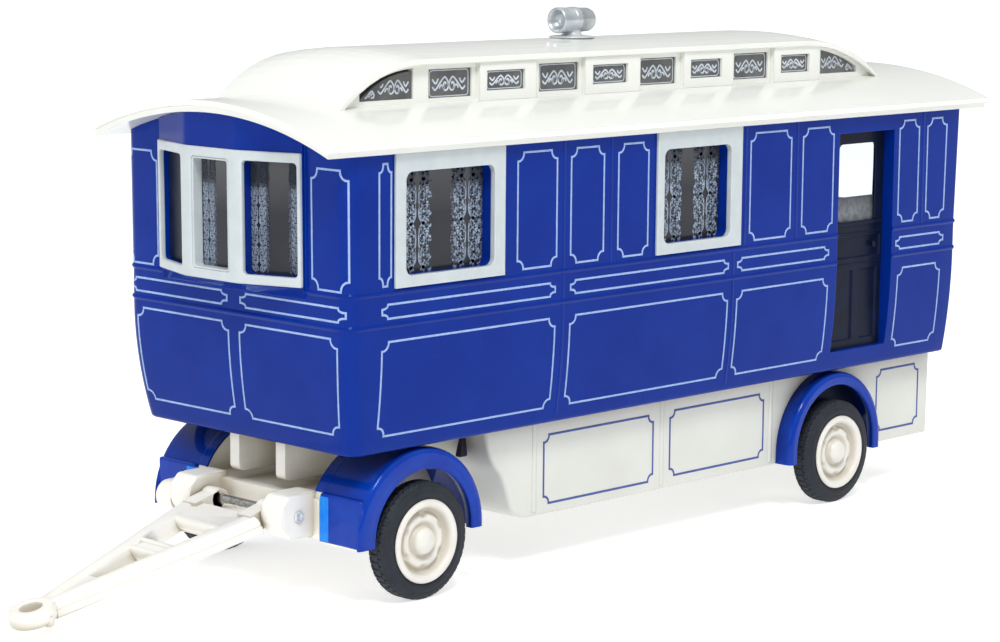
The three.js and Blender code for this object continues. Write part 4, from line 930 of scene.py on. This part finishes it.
def bay_panes():
    """The deep pane of the bay's middle light with its white sleeve and its lace, and the pane
    that stands half way in the right-hand light."""
    half = BAY_LIGHT_HALF - 0.05
    light = rounded(-half, half, BAY_LIGHTS[0] + 0.02, BAY_LIGHTS[1] - 0.02, 0.6)
    rim = 0.28
    inside = rounded(-half + rim, half - rim, BAY_LIGHTS[0] + rim, BAY_LIGHTS[1] - rim, 0.45)
    sleeve = Shape().prism(light, along_x, BAY_PANE + 0.02, BAY_FRONT + 0.25)
    hollow = [cut(inside, along_x, BAY_PANE - 1, BAY_FRONT + 1)]
    piece("bay_middle_sleeve", sleeve, WHITE, hollow, soft=(0.08,))
    thick = 0.5
    piece("bay_middle_pane", Shape().prism(light, along_x, BAY_PANE - thick, BAY_PANE), SMOKE)
    bright, faint = Shape(), Shape()
    for middle, clip in [(-2.3, (-3.6, -0.6)), (2.9, (1.5, 3.6))]:
        lace_band(bright, faint, middle_glass, middle, clip, *BAY_LACE_SPAN, 1.7, 0.45)
    piece("bay_middle_lace", bright, LACE, **FINE)
    piece("bay_middle_faint_lace", faint, FAINT_LACE, **FINE)
    plan = bay_outline(1.1, BODY_FRONT)
    inner, outer = Vector(plan[2]), Vector(plan[1])
    along = (outer - inner).normalized()
    low, high = BAY_LIGHTS[0] - 0.02, BAY_LIGHTS[1] + 0.02
    pane = Shape().sweep([[(x, y, low), (x - thick, y, low), (x - thick, y, high), (x, y, high)]
                          for x, y in (inner + along * 0.6, inner + along * 9.4)])
    piece("bay_right_pane", pane, SHADED_GLASS)


# Outer face of the clerestory's wall, and how far its panes stand back from it.
CLER_WALL_OUT = box("left_clerestory_glazing")[1].y + 1.15
CLER_SET_BACK = 0.3
# Lights of the clerestory, front x and rear x; every second one is smaller and stands proud.
CLER_LIGHTS = [(43.7, 35), (32.5, 24.5), (20.7, 12.1), (9.6, 1.7), (-1.8, -10.4), (-13.2, -20.8),
               (-24.5, -33.2), (-35.8, -43.2)]
# The long end lights, near x and far x, which taper outward.
CLER_ENDS = [(46.8, 57.2), (-47.1, -56.8)]
# Scrollwork of one half of a light: distance from its middle as a share of its half length, height
# as a share of its height.
SCROLL_MAIN = [(0.76, 0.38), (0.7, 0.3), (0.62, 0.27), (0.5, 0.4), (0.38, 0.54), (0.27, 0.66), (0.18, 0.71),
               (0.09, 0.63), (0.03, 0.52), (0.015, 0.42), (0.04, 0.32), (0.11, 0.25), (0.19, 0.25),
               (0.25, 0.31), (0.3, 0.41), (0.36, 0.43), (0.41, 0.38), (0.44, 0.31)]
SCROLL_CURL = [(0.21, 0.29), (0.25, 0.4), (0.22, 0.51), (0.15, 0.52), (0.14, 0.45)]
SCROLL_FORK = [(0.5, 0.66), (0.55, 0.55), (0.62, 0.49), (0.7, 0.56), (0.77, 0.65)]


def scroll_lines(middle, half, low, height):
    """The scrolls of one half of a light, as paths of (x, z); a negative half mirrors them."""
    return [[(middle + half * u, low + height * v) for u, v in curve(line, 2)]
            for line in (SCROLL_MAIN, SCROLL_CURL, SCROLL_FORK)]


def clerestory_scrolls():
    panes, prints, ends = Shape(), Shape(), Shape()
    hidden = CLER_WALL_OUT - 1.1
    thin = {"lift": 0.02, "sink": 0.02}
    for k, (front, rear) in enumerate(CLER_LIGHTS):
        proud = k % 2 == 1
        low, high = (CLER_BASE - 0.2, CLER_BASE + 2.7) if proud else (CLER_BASE - 0.9, CLER_BASE + 3.25)
        face = CLER_WALL_OUT + (CLER_SET_BACK if proud else -CLER_SET_BACK)
        panes.block((rear - 0.05, hidden, low - 0.05), (front + 0.05, face, high + 0.05))
        half = (front - rear) / 2
        for way in (half, -half):
            for path in scroll_lines((front + rear) / 2, way, low, high - low):
                ribbon(prints, path, 0.27, pane_at(face), looped=False, **thin)
        border = rounded(rear + half * 0.1, front - half * 0.1, low + 0.2, high - 0.22, 0.5, 4)
        ribbon(prints, border, 0.15, pane_at(face), **thin)
    face = CLER_WALL_OUT - CLER_SET_BACK
    for near, far in CLER_ENDS:
        way = math.copysign(1, far - near)
        low = CLER_BASE - 0.9

        def shown(x, z):
            """Whether a point lies inside the falling top of the light."""
            return abs(x - near) > 0.35 and z - low < 3.55 - 0.034 * (x - near) ** 2

        for start, length, height in [(3.4, 4.2, 4.6), (3.4, -3.6, 4.6), (7.3, 2.6, 2.4)]:
            for path in scroll_lines(near + way * start, way * length, low, height * 0.86):
                path = [point for point in path if shown(*point)]
                if len(path) > 3:
                    ribbon(prints, path, 0.25, pane_at(face), looped=False, **thin)
        fall = 3.9
        top = [(near + (far - near) * t, CLER_BASE - 0.8 + fall * (1 - t ** 2.1))
               for t in [j / 10 for j in range(11)]]
        ends.prism([(near, CLER_BASE - 1.0), (far, CLER_BASE - 1.0)] + top[::-1], along_y, hidden, face)
    pairs(("clerestory_panes_{side}", panes, CLER_SMOKE, {}),
          ("clerestory_end_panes_{side}", ends, CLER_SMOKE, {}),
          ("clerestory_scrolls_{side}", prints, SCROLL, FINE))


# ---------------------------------------------------------------- doors
# Of the left leaf: its tall panels as rear x and front x, the heights of these and of the lock
# rail's panel, and its ledges as height, thickness and how far they stand out.
DOOR_PANELS = [(-51.3, -46.9), (-44.9, -38.2)]
DOOR_PANEL_SPAN = (26.8, 38.3)
LOCK_RAIL_SPAN = (40.4, 43.8)
DOOR_LEDGES = [(45.75, 0.6, 0.34), (44.3, 0.3, 0.14), (39.2, 0.3, 0.14)]
KNOB_AT = (-50, 42.3)
# Profile of the knob: distance from the leaf, radius.
KNOB = [(-0.6, 0.3), (0.1, 0.26), (0.2, 0.5), (0.45, 0.56), (0.65, 0.4), (0.72, 0.12)]


def doors():
    """Leaves with a window, a lock rail, two tall lower panels and a knob."""
    low, high = box("left_door")
    face = high.y
    rear, front = low.x, high.x
    light = rounded(-50.4, -40.6, SILL - 0.5, HEAD - 2.1, 1.0, 6)
    behind = rounded(-51.3, -39.6, SILL - 1.1, HEAD - 1.6, 1.3, 6)
    panels = [(*span, *DOOR_PANEL_SPAN) for span in DOOR_PANELS]
    panels.append((rear + 1, front - 1, *LOCK_RAIL_SPAN))
    tools = [cut(light, along_y, 0, 40), cut(behind, along_y, 0, face - 0.3)]
    tools += [("DIFFERENCE", Shape().block((x0, face - 0.28, z0), (x1, face + 2, z1)))
              for x0, x1, z0, z1 in panels]
    rows = [("{side}_door_leaf", Shape().block(tuple(low), tuple(high)), NAVY,
             {"tools": tools, "soft": (0.1,), "slot": "door_navy", "replaces": ["{side}_door"]})]
    for k, (z, thick, out) in enumerate(DOOR_LEDGES):
        ledge = Shape().block((rear + 0.9, face - 0.2, z), (front - 0.9, face + out, z + thick))
        rows.append(("{side}_door_ledge_" + str(k + 1), ledge, NAVY, {"soft": (0.1,)}))
    knob = turned([(face + out, r) for out, r in KNOB], along_y, *KNOB_AT, 12)
    curtain = Shape().block((-51.1, face - 0.9, SILL - 1.0), (-39.7, face - 0.72, SILL + 3.5))
    pairs(*rows, ("{side}_door_knob", knob, NAVY, {}), ("{side}_door_curtain", curtain, CURTAIN, {}))


# ---------------------------------------------------------------- chimney
# Half length and radius of the cowl pipe, and its rear end.
COWL_HALF = 3.65
COWL_RADIUS = 1.9
COWL_BACK = -COWL_HALF - 0.45
# Profile of the pipe from its rear end, over the middle band, into its open front end: distance
# forward from the chimney's middle, radius.
PIPE_PROFILE = [
    (COWL_BACK, 0.1), (COWL_BACK, 1.1), (COWL_BACK + 0.12, 1.4), (COWL_BACK + 0.4, 1.68),
    (COWL_BACK + 0.9, 1.86), (-0.62, 1.93), (-0.55, 2.0), (-0.5, 2.06), (0.5, 2.06), (0.55, 2.0),
    (0.62, 1.94), (2.4, 2.0),
    (COWL_HALF - 0.3, 2.04), (COWL_HALF - 0.08, 1.98), (COWL_HALF, 1.86), (COWL_HALF - 0.05, 1.72),
    (COWL_HALF - 0.4, 1.5), (COWL_HALF - 1.0, 1.3), (COWL_HALF - 1.5, 0.9), (COWL_HALF - 1.65, 0.1),
]
# Profile of the flange and neck: height above the roof, radius.
NECK_PROFILE = [(0, 3.5), (0.1, 3.6), (0.22, 3.5), (0.3, 3.0), (0.36, 1.9), (0.6, 1.5), (0.9, 1.4)]
# Rivets of the pipe: height above its skin and radius, and where they stand round it in degrees.
RIVET_PROFILE = [(-0.1, 0.13), (0.04, 0.13), (0.09, 0.07)]
RIVET_ANGLES = (20, 45, 70, 110, 135, 160, -20, 200)


def chimney():
    low, high = box("chimney")
    middle_x = 0.4
    middle_z = high.z - COWL_RADIUS - 0.18
    steps = 40
    shape = turned([(middle_x + x, r) for x, r in PIPE_PROFILE], along_x, 0, middle_z, steps)
    neck = [(low.z + up, r) for up, r in NECK_PROFILE] + [(middle_z - 1.3, 1.4)]
    piece("chimney_foot", turned(neck, along_z, middle_x, 0, steps), PALE_SILVER, sharp=45)
    for x in (-0.95, 0.95):
        for degrees in RIVET_ANGLES:
            across, up = math.cos(math.radians(degrees)), math.sin(math.radians(degrees))
            rings = []
            for lift, r in RIVET_PROFILE:
                out = 1.86 + lift
                rings.append([(middle_x + x + r * math.cos(b), across * out - up * r * math.sin(b),
                               middle_z + up * out + across * r * math.sin(b)) for b in angles(6)])
            shape.sweep(rings)
    piece("chimney_pipe", shape, SILVER, slot="silver_paint", replaces=["chimney"], sharp=45)


# ---------------------------------------------------------------- belly box
def bezier(start, pull, end, steps=6):
    points = []
    for k in range(1, steps + 1):
        t = k / steps
        points.append(tuple(a * (1 - t) ** 2 + 2 * b * t * (1 - t) + c * t * t
                            for a, b, c in zip(start, pull, end)))
    return points


def sweep_line():
    """The S of the front wall, bottom to top, as (x, z)."""
    x, low = SWEEP_FRONT, SKIRT_LOW
    turns = [((x - 9.5, low), (x - 6.1, low + 0.2), (x - 5.4, low + 2.8)),
             ((x - 5.4, low + 2.8), (x - 4.6, low + 5.8), (x - 3.3, low + 7.6)),
             ((x - 3.3, low + 7.6), (x - 1.4, low + 9.4), (x - 0.8, low + 11.8))]
    line = [turns[0][0]]
    for turn in turns:
        line += bezier(*turn)
    return line + [(x, SKIRT_TOP)]


def inset_outline(outline, distance):
    """A closed outline, anticlockwise, moved inward."""
    count = len(outline)
    moved = []
    for k, (u, v) in enumerate(outline):
        before, after = outline[k - 1], outline[(k + 1) % count]
        a = Vector((u - before[0], v - before[1])).normalized()
        b = Vector((after[0] - u, after[1] - v)).normalized()
        normal = Vector((-(a.y + b.y), a.x + b.x)).normalized()
        reach = distance / max(0.4, normal.dot(Vector((-a.y, a.x))))
        moved.append((u + normal.x * reach, v + normal.y * reach))
    return moved


# Arches of the mudguards about their axles: half length and rise of the outer arch and its shift
# forward, half length of the wheel's opening and its shift, and the height of the feet.
REAR_GUARD = {"half": 12.15, "rise": 12.25, "shift": 0.0, "open": 10.1, "open_shift": 0.0, "foot": 7.7}
FRONT_GUARD = {"half": 12.45, "rise": 12.4, "shift": 0.2, "open": 9.4, "open_shift": -0.3, "foot": 8.8}
# Rise of the front opening, and the height from which all the arches spring.
FRONT_GUARD_HEAD = 9.2
SPRING = WHEEL_RADIUS + 1


def belly_box():
    outline = [(BODY_REAR, SKIRT_LOW)] + sweep_line() + [(BODY_REAR, SKIRT_TOP)]
    edge = 0.6
    rings = [(-SKIRT_HALF + edge * (1 - math.cos(a)), edge * (1 - math.sin(a)))
             for a in [math.radians(22.5 * k) for k in range(5)]]
    rings = rings + [(-y, inset) for y, inset in reversed(rings)]
    shape = Shape().sweep([[(u, y, min(v, SKIRT_TOP)) for u, v in inset_outline(outline, inset)]
                           for y, inset in rings])
    wall = 1.0
    hollow = inset_outline(outline, wall)
    hollow = [(u, v - 4 if v < SKIRT_LOW + wall + 0.2 else v) for u, v in hollow]
    inside = SKIRT_HALF - wall
    arch = ([(REAR_AXLE - 12.2, 0), (REAR_AXLE + 12.2, 0)]
            + arc(REAR_AXLE, SPRING, 12.2, 0, 180, 32, 12.3))
    tools = [cut(hollow, along_y, -inside, inside), cut(arch, along_y, inside - 0.5, 30),
             cut(arch, along_y, -30, -inside + 0.5)]
    piece("belly_box", shape, SKIRT, tools, slot="ivory",
          replaces=["left_skirt", "right_skirt", "front_skirt", "rear_skirt"])
    ribs = Shape()
    for x in (28.6, -0.1, -26.9):
        ribbon(ribs, [(x, SKIRT_LOW + 0.7), (x, SKIRT_TOP)], 1.0, skirt_point, looped=False, crown=0.14)
    lines = Shape()
    for front, rear, low, high in [(26.6, 2.0, 9.2, 19.6), (-2.0, -25.0, 9.4, 19.7),
                                   (-55.3, -67.0, 9.6, 20.0)]:
        ribbon(lines, notched(rear, front, low, high, (1.0, 1.0)), 0.34, skirt_point)
    pairs(("skirt_ribs_{side}", ribs, SKIRT, {}), ("skirt_lining_{side}", lines, BLUE_LINING, {}))
    # Posts behind the front wheels, as height, rear x, front x and half width.
    post = Shape()
    for y in (15.0, -15.0):
        post.sweep([[(x0, y - w, z), (x1, y - w, z), (x1, y + w, z), (x0, y + w, z)]
                    for z, x0, x1, w in [(17.5, 38.6, 40.1, 0.5), (17.9, 38.55, 40.05, 0.55),
                                         (19.9, 38.7, 39.6, 0.4), (BODY_BOTTOM - 0.6, 38.8, 39.5, 0.35)]])
    # The posts' near-black finish is painted shade over blue paint.
    piece("fixing_posts", post, POST_SHADE, soft=(0.15,), body="bogie")


# ---------------------------------------------------------------- mudguards
# Thickness of a mudguard's skin and depth of its lip.
GUARD_SKIN = 1.0
LIP_THICK = 1.1
# Section of a mudguard: 0 measures inward from the outer arch and 1 back from the opening;
# the last number is measured back from the outer face.
GUARD_SECTION = [
    (0, 0.0, 1.1), (0, 0.05, 0.75), (0, 0.17, 0.42), (0, 0.36, 0.18), (0, 0.62, 0.04), (0, 0.9, 0.0),
    (1, 1.0, 0.0), (1, 0.85, 0.05), (1, 0.7, 0.05), (1, 0.3, 0.04), (1, 0.1, 0.12), (1, 0.0, 0.35),
    (1, 0.02, LIP_THICK + 0.2), (1, 0.12, LIP_THICK + 0.3), (0, GUARD_SKIN, LIP_THICK + 0.3),
]


def guard_rings(axle, row, head, inner, front_limit):
    """Sections of a mudguard from its front foot over the wheel to its rear foot."""
    stations = [(0, row["foot"]), (0, SPRING - 0.2)]
    spans = []
    for _, z in stations:
        spans.append(((axle + row["shift"] + row["half"], z), (axle + row["open_shift"] + row["open"], z)))
    steps = 48
    for k in range(steps + 1):
        a = math.pi * k / steps
        spans.append(((axle + row["shift"] + row["half"] * math.cos(a), SPRING + row["rise"] * math.sin(a)),
                      (axle + row["open_shift"] + row["open"] * math.cos(a), SPRING + head * math.sin(a))))
    for _, z in reversed(stations):
        spans.append(((axle + row["shift"] - row["half"], z), (axle + row["open_shift"] - row["open"], z)))
    rings = []
    for outer, opening in spans:
        across = Vector((opening[0] - outer[0], opening[1] - outer[1]))
        depth = across.length
        across.normalize()
        ring = []
        for side, distance, back in [(0, 0.0, None)] + GUARD_SECTION + [(0, GUARD_SKIN, None)]:
            run = distance if side == 0 else depth - distance
            y = inner if back is None else GUARD_OUT - back
            x = outer[0] + across.x * run
            if back is None or back >= LIP_THICK - 0.4 and side == 0:
                x = min(x, front_limit - run)
            ring.append((x, y, outer[1] + across.y * run))
        rings.append(ring)
    return rings


def mudguards():
    front = Shape().sweep(guard_rings(FRONT_AXLE, FRONT_GUARD, FRONT_GUARD_HEAD, FRONT_GUARD_IN, BEAM_FRONT))
    rear = Shape().sweep(guard_rings(REAR_AXLE, REAR_GUARD, REAR_GUARD["open"], REAR_GUARD_IN, 300))
    apron = Shape().block((BEAM_FRONT - 1.4, FRONT_GUARD_IN + 0.05, FRONT_GUARD["foot"]),
                          (BEAM_FRONT + 0.08, GUARD_OUT - 0.5, PIN_Z + 3.3))
    edge = Shape().block((BEAM_FRONT - 1.2, FRONT_GUARD_IN - 0.02, FRONT_GUARD["foot"] + 0.05),
                         (BEAM_FRONT + 0.14, FRONT_GUARD_IN + 2.0, PIN_Z + 3.0))
    foot = Shape().block((BEAM_FRONT - 1.3, FRONT_GUARD_IN + 0.1, FRONT_GUARD["foot"] - 0.2),
                         (BEAM_FRONT + 0.02, GUARD_OUT - 0.7, FRONT_GUARD["foot"] + 0.1))
    # A near-black sheet inside each rear arch stands in for the shadow there: painted shade.
    dome = arc(REAR_AXLE, SPRING, REAR_GUARD["half"] - 0.6, 12, 168, 30, REAR_GUARD["rise"] - 0.6)
    tub = Shape().prism(dome, along_y, SKIRT_HALF - 0.9, SKIRT_HALF - 0.5)

    def over_front(outward):
        """Line over the front wheel, that far outside the guard's arch."""
        return arc(FRONT_AXLE + FRONT_GUARD["shift"], SPRING, FRONT_GUARD["half"] + outward, 30, 150, 30,
                   FRONT_GUARD["rise"] + outward)

    strip = Shape().prism(over_front(0.03) + over_front(-0.3)[::-1], along_y, FRONT_GUARD_IN - 1.75,
                          FRONT_GUARD_IN + 0.1)
    turning = {"body": "bogie"}
    guard = {"slot": "body_blue", "sharp": 50}
    pairs(("front_guard_hem_{side}", strip, GUARD_BLUE, turning),
          ("front_guard_{side}", front, GUARD_BLUE,
           {"replaces": ["front_mudguard_{side}"], **turning, **guard}),
          ("front_apron_{side}", apron, GUARD_BLUE, {"soft": (0.35, 3), **turning}),
          ("apron_fringe_{side}", edge, AZURE, {"soft": (0.3, 3), **turning}),
          ("apron_foot_{side}", foot, IVORY, {"soft": (0.1,), **turning}),
          ("rear_arch_lining_{side}", tub, ARCH_SHADE, {}),
          ("rear_guard_{side}", rear, GUARD_BLUE, {"replaces": ["rear_mudguard_{side}"], **guard}))


# ---------------------------------------------------------------- wheels
# Blocks round the tread, in each of its rows.
BLOCKS = 45
# One half of the tread's profile: how far it lies below the crown and in from the outer face, and
# which blocks the point belongs to: 0 none, 1 shoulder row, 2 middle rows.
TREAD = [(1.95, 0.02, 0), (1.55, 0.0, 0), (1.3, 0.06, 0), (1.2, 0.14, 0), (0.95, 0.14, 0), (0.62, 0.2, 0),
         (0.34, 0.38, 0), (0.2, 0.46, 1), (0.06, 0.62, 1), (0.0, 0.82, 1), (0.0, 1.0, 1), (0.2, 1.06, 0),
         (0.2, 1.14, 0), (0.0, 1.2, 2), (0.0, 1.68, 2)]
# How deep the gaps between the blocks are.
GROOVE = 0.15
# Angles within one pitch of the tread, and whether the shoulder and middle blocks stand there.
PITCH = [(0.0, 0, 1), (0.05, 1, 1), (0.2, 1, 1), (0.25, 1, 0), (0.5, 1, 0), (0.55, 1, 1), (0.7, 1, 1),
         (0.75, 0, 1)]


def tyre(axle):
    width = TYRE_OUT - TYRE_IN
    bead = RIM_RADIUS - 0.3
    half = [(WHEEL_RADIUS - down, back, row) for down, back, row in TREAD]
    profile = [(bead, 0.32, 0), (RIM_RADIUS + 0.02, 0.1, 0)] + half
    profile += [(r, width - back, row) for r, back, row in reversed(profile)]
    rings = []
    for block in range(BLOCKS):
        for share, shoulder, middle in PITCH:
            a = 2 * math.pi * (block + share) / BLOCKS
            ring = []
            for radius, back, row in profile:
                sunk = GROOVE if (row == 1 and not shoulder) or (row == 2 and not middle) else 0
                r = radius - sunk
                ring.append((axle + r * math.cos(a), TYRE_OUT - back, WHEEL_RADIUS + r * math.sin(a)))
            rings.append(ring)
    return Shape().sweep(rings, looped=True)


# Profile of a hub: radius, and height above the tyre's outer face.
HUB_PROFILE = [
    (0.02, 0.6), (0.6, 0.57), (1.1, 0.44), (1.5, 0.22), (1.8, -0.1), (1.98, -0.5), (2.08, -0.85),
    (2.25, -1.0), (2.5, -0.92), (2.7, -0.72), (2.95, -0.55), (3.3, -0.48), (3.65, -0.52),
    (3.9, -0.68), (4.08, -1.0),
    (4.25, -1.15), (4.5, -1.12), (4.66, -0.85), (4.78, -0.45), (4.92, -0.05), (5.08, 0.2), (5.28, 0.32),
    (5.5, 0.35), (5.7, 0.34), (5.9, 0.26), (6.0, 0.13), (6.05, 0.0), (5.9, -0.2), (5.68, -0.35),
    (5.65, -3.0), (4.6, -3.3), (2.2, -3.2), (2.2, -4.1), (0.02, -4.1),
]
# Notches round the hub's step.
NOTCHES = 6


def hub(axle):
    steps = 96
    rings = []
    for k, a in enumerate(angles(steps)):
        near = abs(((k / steps * NOTCHES) % 1) - 0.5) * 2
        dip = max(0.0, 1 - near / 0.34) ** 0.5 if near < 0.34 else 0.0
        ring = []
        for radius, height in HUB_PROFILE:
            sunk = 0.42 * dip if 3.5 < radius < 4 and height > -0.9 else 0
            ring.append((axle + radius * math.cos(a), TYRE_OUT + height - sunk,
                         WHEEL_RADIUS + radius * math.sin(a)))
        rings.append(ring)
    return Shape().sweep(rings, looped=True)


def wheels():
    for end, axle in {"front": FRONT_AXLE, "rear": REAR_AXLE}.items():
        turning = {"body": end + "_wheelset"}
        rubber = {"slot": "tyre", "replaces": [end + "_tyre_{side}"], "sharp": 40}
        centre = {"slot": "ivory", "replaces": [end + "_hub_{side}"], "sharp": 55}
        pairs((end + "_tread_{side}", tyre(axle), RUBBER, {**turning, **rubber}),
              (end + "_wheel_{side}", hub(axle), HUB, {**turning, **centre}))


# ---------------------------------------------------------------- drawbar and its hinge
# From the hinge pin to the middle of the towing eye; the eye rests EYE_LIFT above the ground.
BAR_LENGTH = 38.05
BAR_TOP = 1.05
EYE_RADIUS = 3.3
EYE_LOW = -1.25
EYE_LIFT = 0.9
BAR_TILT = (math.asin((PIN_Z - EYE_LIFT) / math.hypot(BAR_LENGTH + EYE_RADIUS, EYE_LOW))
            - math.atan(-EYE_LOW / (BAR_LENGTH + EYE_RADIUS)))
# Outer half width of the drawbar at distances from its pin.
BAR_SHAPE = [(3.95, 8.85), (12.7, 7.1), (21.7, 5.2), (30.7, 3.2), (35.6, 2.15)]
# How much wider than its section a bar is at each of those places.
BAR_WIDEN = [1.5, 1.45, 1.35, 1.15, 1.0]
# Section of a bar: in from its outer side, above the pin's axis. Its lower half is a wider flange.
BAR_SECTION = [(0.0, -1.3), (0.0, -0.35), (0.16, -0.28), (0.2, 0.15), (0.42, 0.66), (0.85, 0.96),
               (1.4, 1.05), (1.95, 0.96), (2.38, 0.66), (2.6, 0.15), (2.72, -0.4), (2.75, -1.3),
               (2.45, -1.58), (0.3, -1.58)]


def bar_point(run, y, rise):
    """A point of the drawbar: distance out from its pin, sideways, and above the pin's axis."""
    x = PIN_X + run * math.cos(BAR_TILT) + rise * math.sin(BAR_TILT)
    return (x, y, PIN_Z - run * math.sin(BAR_TILT) + rise * math.cos(BAR_TILT))


def bar_half(run):
    for (a, half_a), (b, half_b) in zip(BAR_SHAPE, BAR_SHAPE[1:]):
        if run <= b:
            return half_a + (half_b - half_a) * (run - a) / (b - a)
    return BAR_SHAPE[-1][1]


def slab(outline, low, high):
    """A flat piece of the drawbar, from an outline of (run, y)."""
    return Shape().sweep([[bar_point(run, y, rise) for run, y in outline] for rise in (low, high)])


def cross_plate(near, far, near_half, far_half, top):
    """A plate between the bars, from a near to a far distance and so wide at each."""
    return slab([(near, -near_half), (far, -far_half), (far, far_half), (near, near_half)], -1.4, top)


# Half width of the slot that shows the hinge pin, and of the root that closes it outside.
SLOT_HALF = 4.6
ROOT_HALF = 7.4
# Section of the towing eye's ring: radius, above the pin's axis.
EYE_SECTION = [(1.5, -0.9), (1.5, 0.7), (1.62, 0.95), (1.85, BAR_TOP), (2.75, BAR_TOP), (3.1, 0.9),
               (3.27, 0.55), (EYE_RADIUS, 0.1), (EYE_RADIUS, -0.6), (3.2, -0.95), (2.95, -1.18),
               (2.7, EYE_LOW), (1.8, EYE_LOW)]
# Feet beside the eye: above the pin's axis, radius.
FOOT_PROFILE = [(-1.65, 0.35), (-1.5, 0.6), (-1.2, 0.75), (-0.2, 0.75)]


def drawbar():
    bar = Shape().sweep([[bar_point(run, half - inward * widen, rise) for inward, rise in BAR_SECTION]
                         for (run, half), widen in zip(BAR_SHAPE, BAR_WIDEN)])
    round_pin = [(PIN_X + u, PIN_Z + v) for u, v in arc(0, 0, 1.5, 0, 350, 35)]
    knuckle = Shape().prism(round_pin, along_y, SLOT_HALF, ROOT_HALF)
    root = slab([(0, SLOT_HALF), (4.6, SLOT_HALF), (4.6, ROOT_HALF), (0, ROOT_HALF)], -1.5, 1.2)
    tools = [bar.mirrored(), knuckle, knuckle.mirrored(), root, root.mirrored()]
    tools.append(cross_plate(3.2, 8.4, 7.5, bar_half(9.4) - 1, 0.7))
    # Round ties across, as distance and half length.
    for run, size in ((8.15, 0.95), (15.7, 0.7), (18.2, 0.65)):
        reach = bar_half(run) - 1.2
        tools.append(Shape().sweep([[bar_point(run + size * math.cos(a), y, -0.1 + math.sin(a))
                                     for a in angles(20)] for y in (-reach, reach)]))
    tools.append(cross_plate(15.5, 18.4, bar_half(15.5) - 1, bar_half(18.4) - 1, 0.5))
    near, far = 27.4, 36.5
    tools.append(slab([(near, -0.9), (near + 0.5, -bar_half(near) + 1.3), (far, -1.6), (far, 1.6),
                       (near + 0.5, bar_half(near) - 1.3), (near, 0.9)], EYE_LOW + 0.1, 0.75))
    eye = Shape().sweep([[bar_point(BAR_LENGTH + r * math.cos(a), r * math.sin(a), rise)
                          for r, rise in EYE_SECTION] for a in angles(48)], looped=True)
    lump = Shape().sweep([[bar_point(37.5 + r * math.cos(a), 2.6 + r * math.sin(a), rise) for a in angles(16)]
                          for rise, r in FOOT_PROFILE])
    tools += [eye, lump, lump.mirrored()]
    piece("drawbar_moulding", bar, IVORY, [("UNION", tool) for tool in tools], body="drawbar", slot="ivory",
          replaces=["drawbar"], sharp=40)


# The pin's crimped head: distance from the middle, radius, depth of its five crimps.
PIN_HEAD = [(12.0, 0.8, 0), (12.4, 0.86, 0.1), (12.62, 0.72, 0.3), (12.5, 0.34, 0.1), (12.42, 0.1, 0)]
# Side view of a hinge lug: forward of the pin, above it.
LUG = [(-4.0, -3.12), (1.45, -3.12), (3.12, -1.15), (3.12, 1.85), (1.85, 3.12), (-4.0, 3.12)]


def hinge():
    """Square-cut lugs round the pin's ends, and the pin's crimped head on the left."""
    lug = Shape().prism([(PIN_X + u, PIN_Z + v) for u, v in LUG], along_y, 7.76, 12.24)
    pair("hinge_lug_{side}", lug, IVORY, soft=(0.45, 3), body="bogie")
    rings = []
    for out, size, deep in PIN_HEAD:
        ring = []
        for a in angles(20):
            r = size * (1 - deep * (0.5 + 0.5 * math.cos(5 * a)))
            ring.append((PIN_X + r * math.cos(a), out, PIN_Z + r * math.sin(a)))
        rings.append(ring)
    piece("hinge_pin_head", Shape().sweep(rings), PALE_SILVER, body="bogie", sharp=20)


# ---------------------------------------------------------------- CAD nodes that stay
# Finish of each, and the width of the bevel on its edges.
NODE_FINISH = {
    "roof": (CREAM, 0.25), "chassis_plate": (IVORY, 0.3), "bogie_frame": (IVORY, 0.3),
    "rear_axle_carrier": (IVORY, 0.2), "kingpin": (STEEL, 0.2), "drawbar_pin": (STEEL, 0.1),
    "front_axle": (STEEL, 0.1), "rear_axle": (STEEL, 0.1), "front_glazing": (SMOKE, 0),
    "rear_glazing": (CLEAR, 0),
}
for side in SIDES:
    NODE_FINISH[f"{side}_window_frame_1"] = (WHITE, 0.3)
    NODE_FINISH[f"{side}_window_frame_2"] = (WHITE, 0.3)
    NODE_FINISH[f"{side}_glazing"] = (SMOKE, 0)
    NODE_FINISH[f"{side}_clerestory_glazing"] = (CLER_SMOKE, 0)


def finish_nodes():
    for name, (material, edge) in NODE_FINISH.items():
        node = nodes[name]
        node.data.materials.clear()
        node.data.materials.append(material)
        node.data.shade_smooth()
        if edge:
            flat = node.modifiers.new("flat", "DECIMATE")
            flat.decimate_type = "DISSOLVE"
            flat.angle_limit = math.radians(1)
            soften(node, edge, 3)
        even = node.modifiers.new("even", "WEIGHTED_NORMAL")
        even.keep_sharp = True


make_camera()
make_stage()
body_shell()
end_frames()
lining()
beads()
lace()
bay_panes()
clerestory_scrolls()
doors()
chimney()
belly_box()
mudguards()
wheels()
drawbar()
hinge()
finish_nodes()
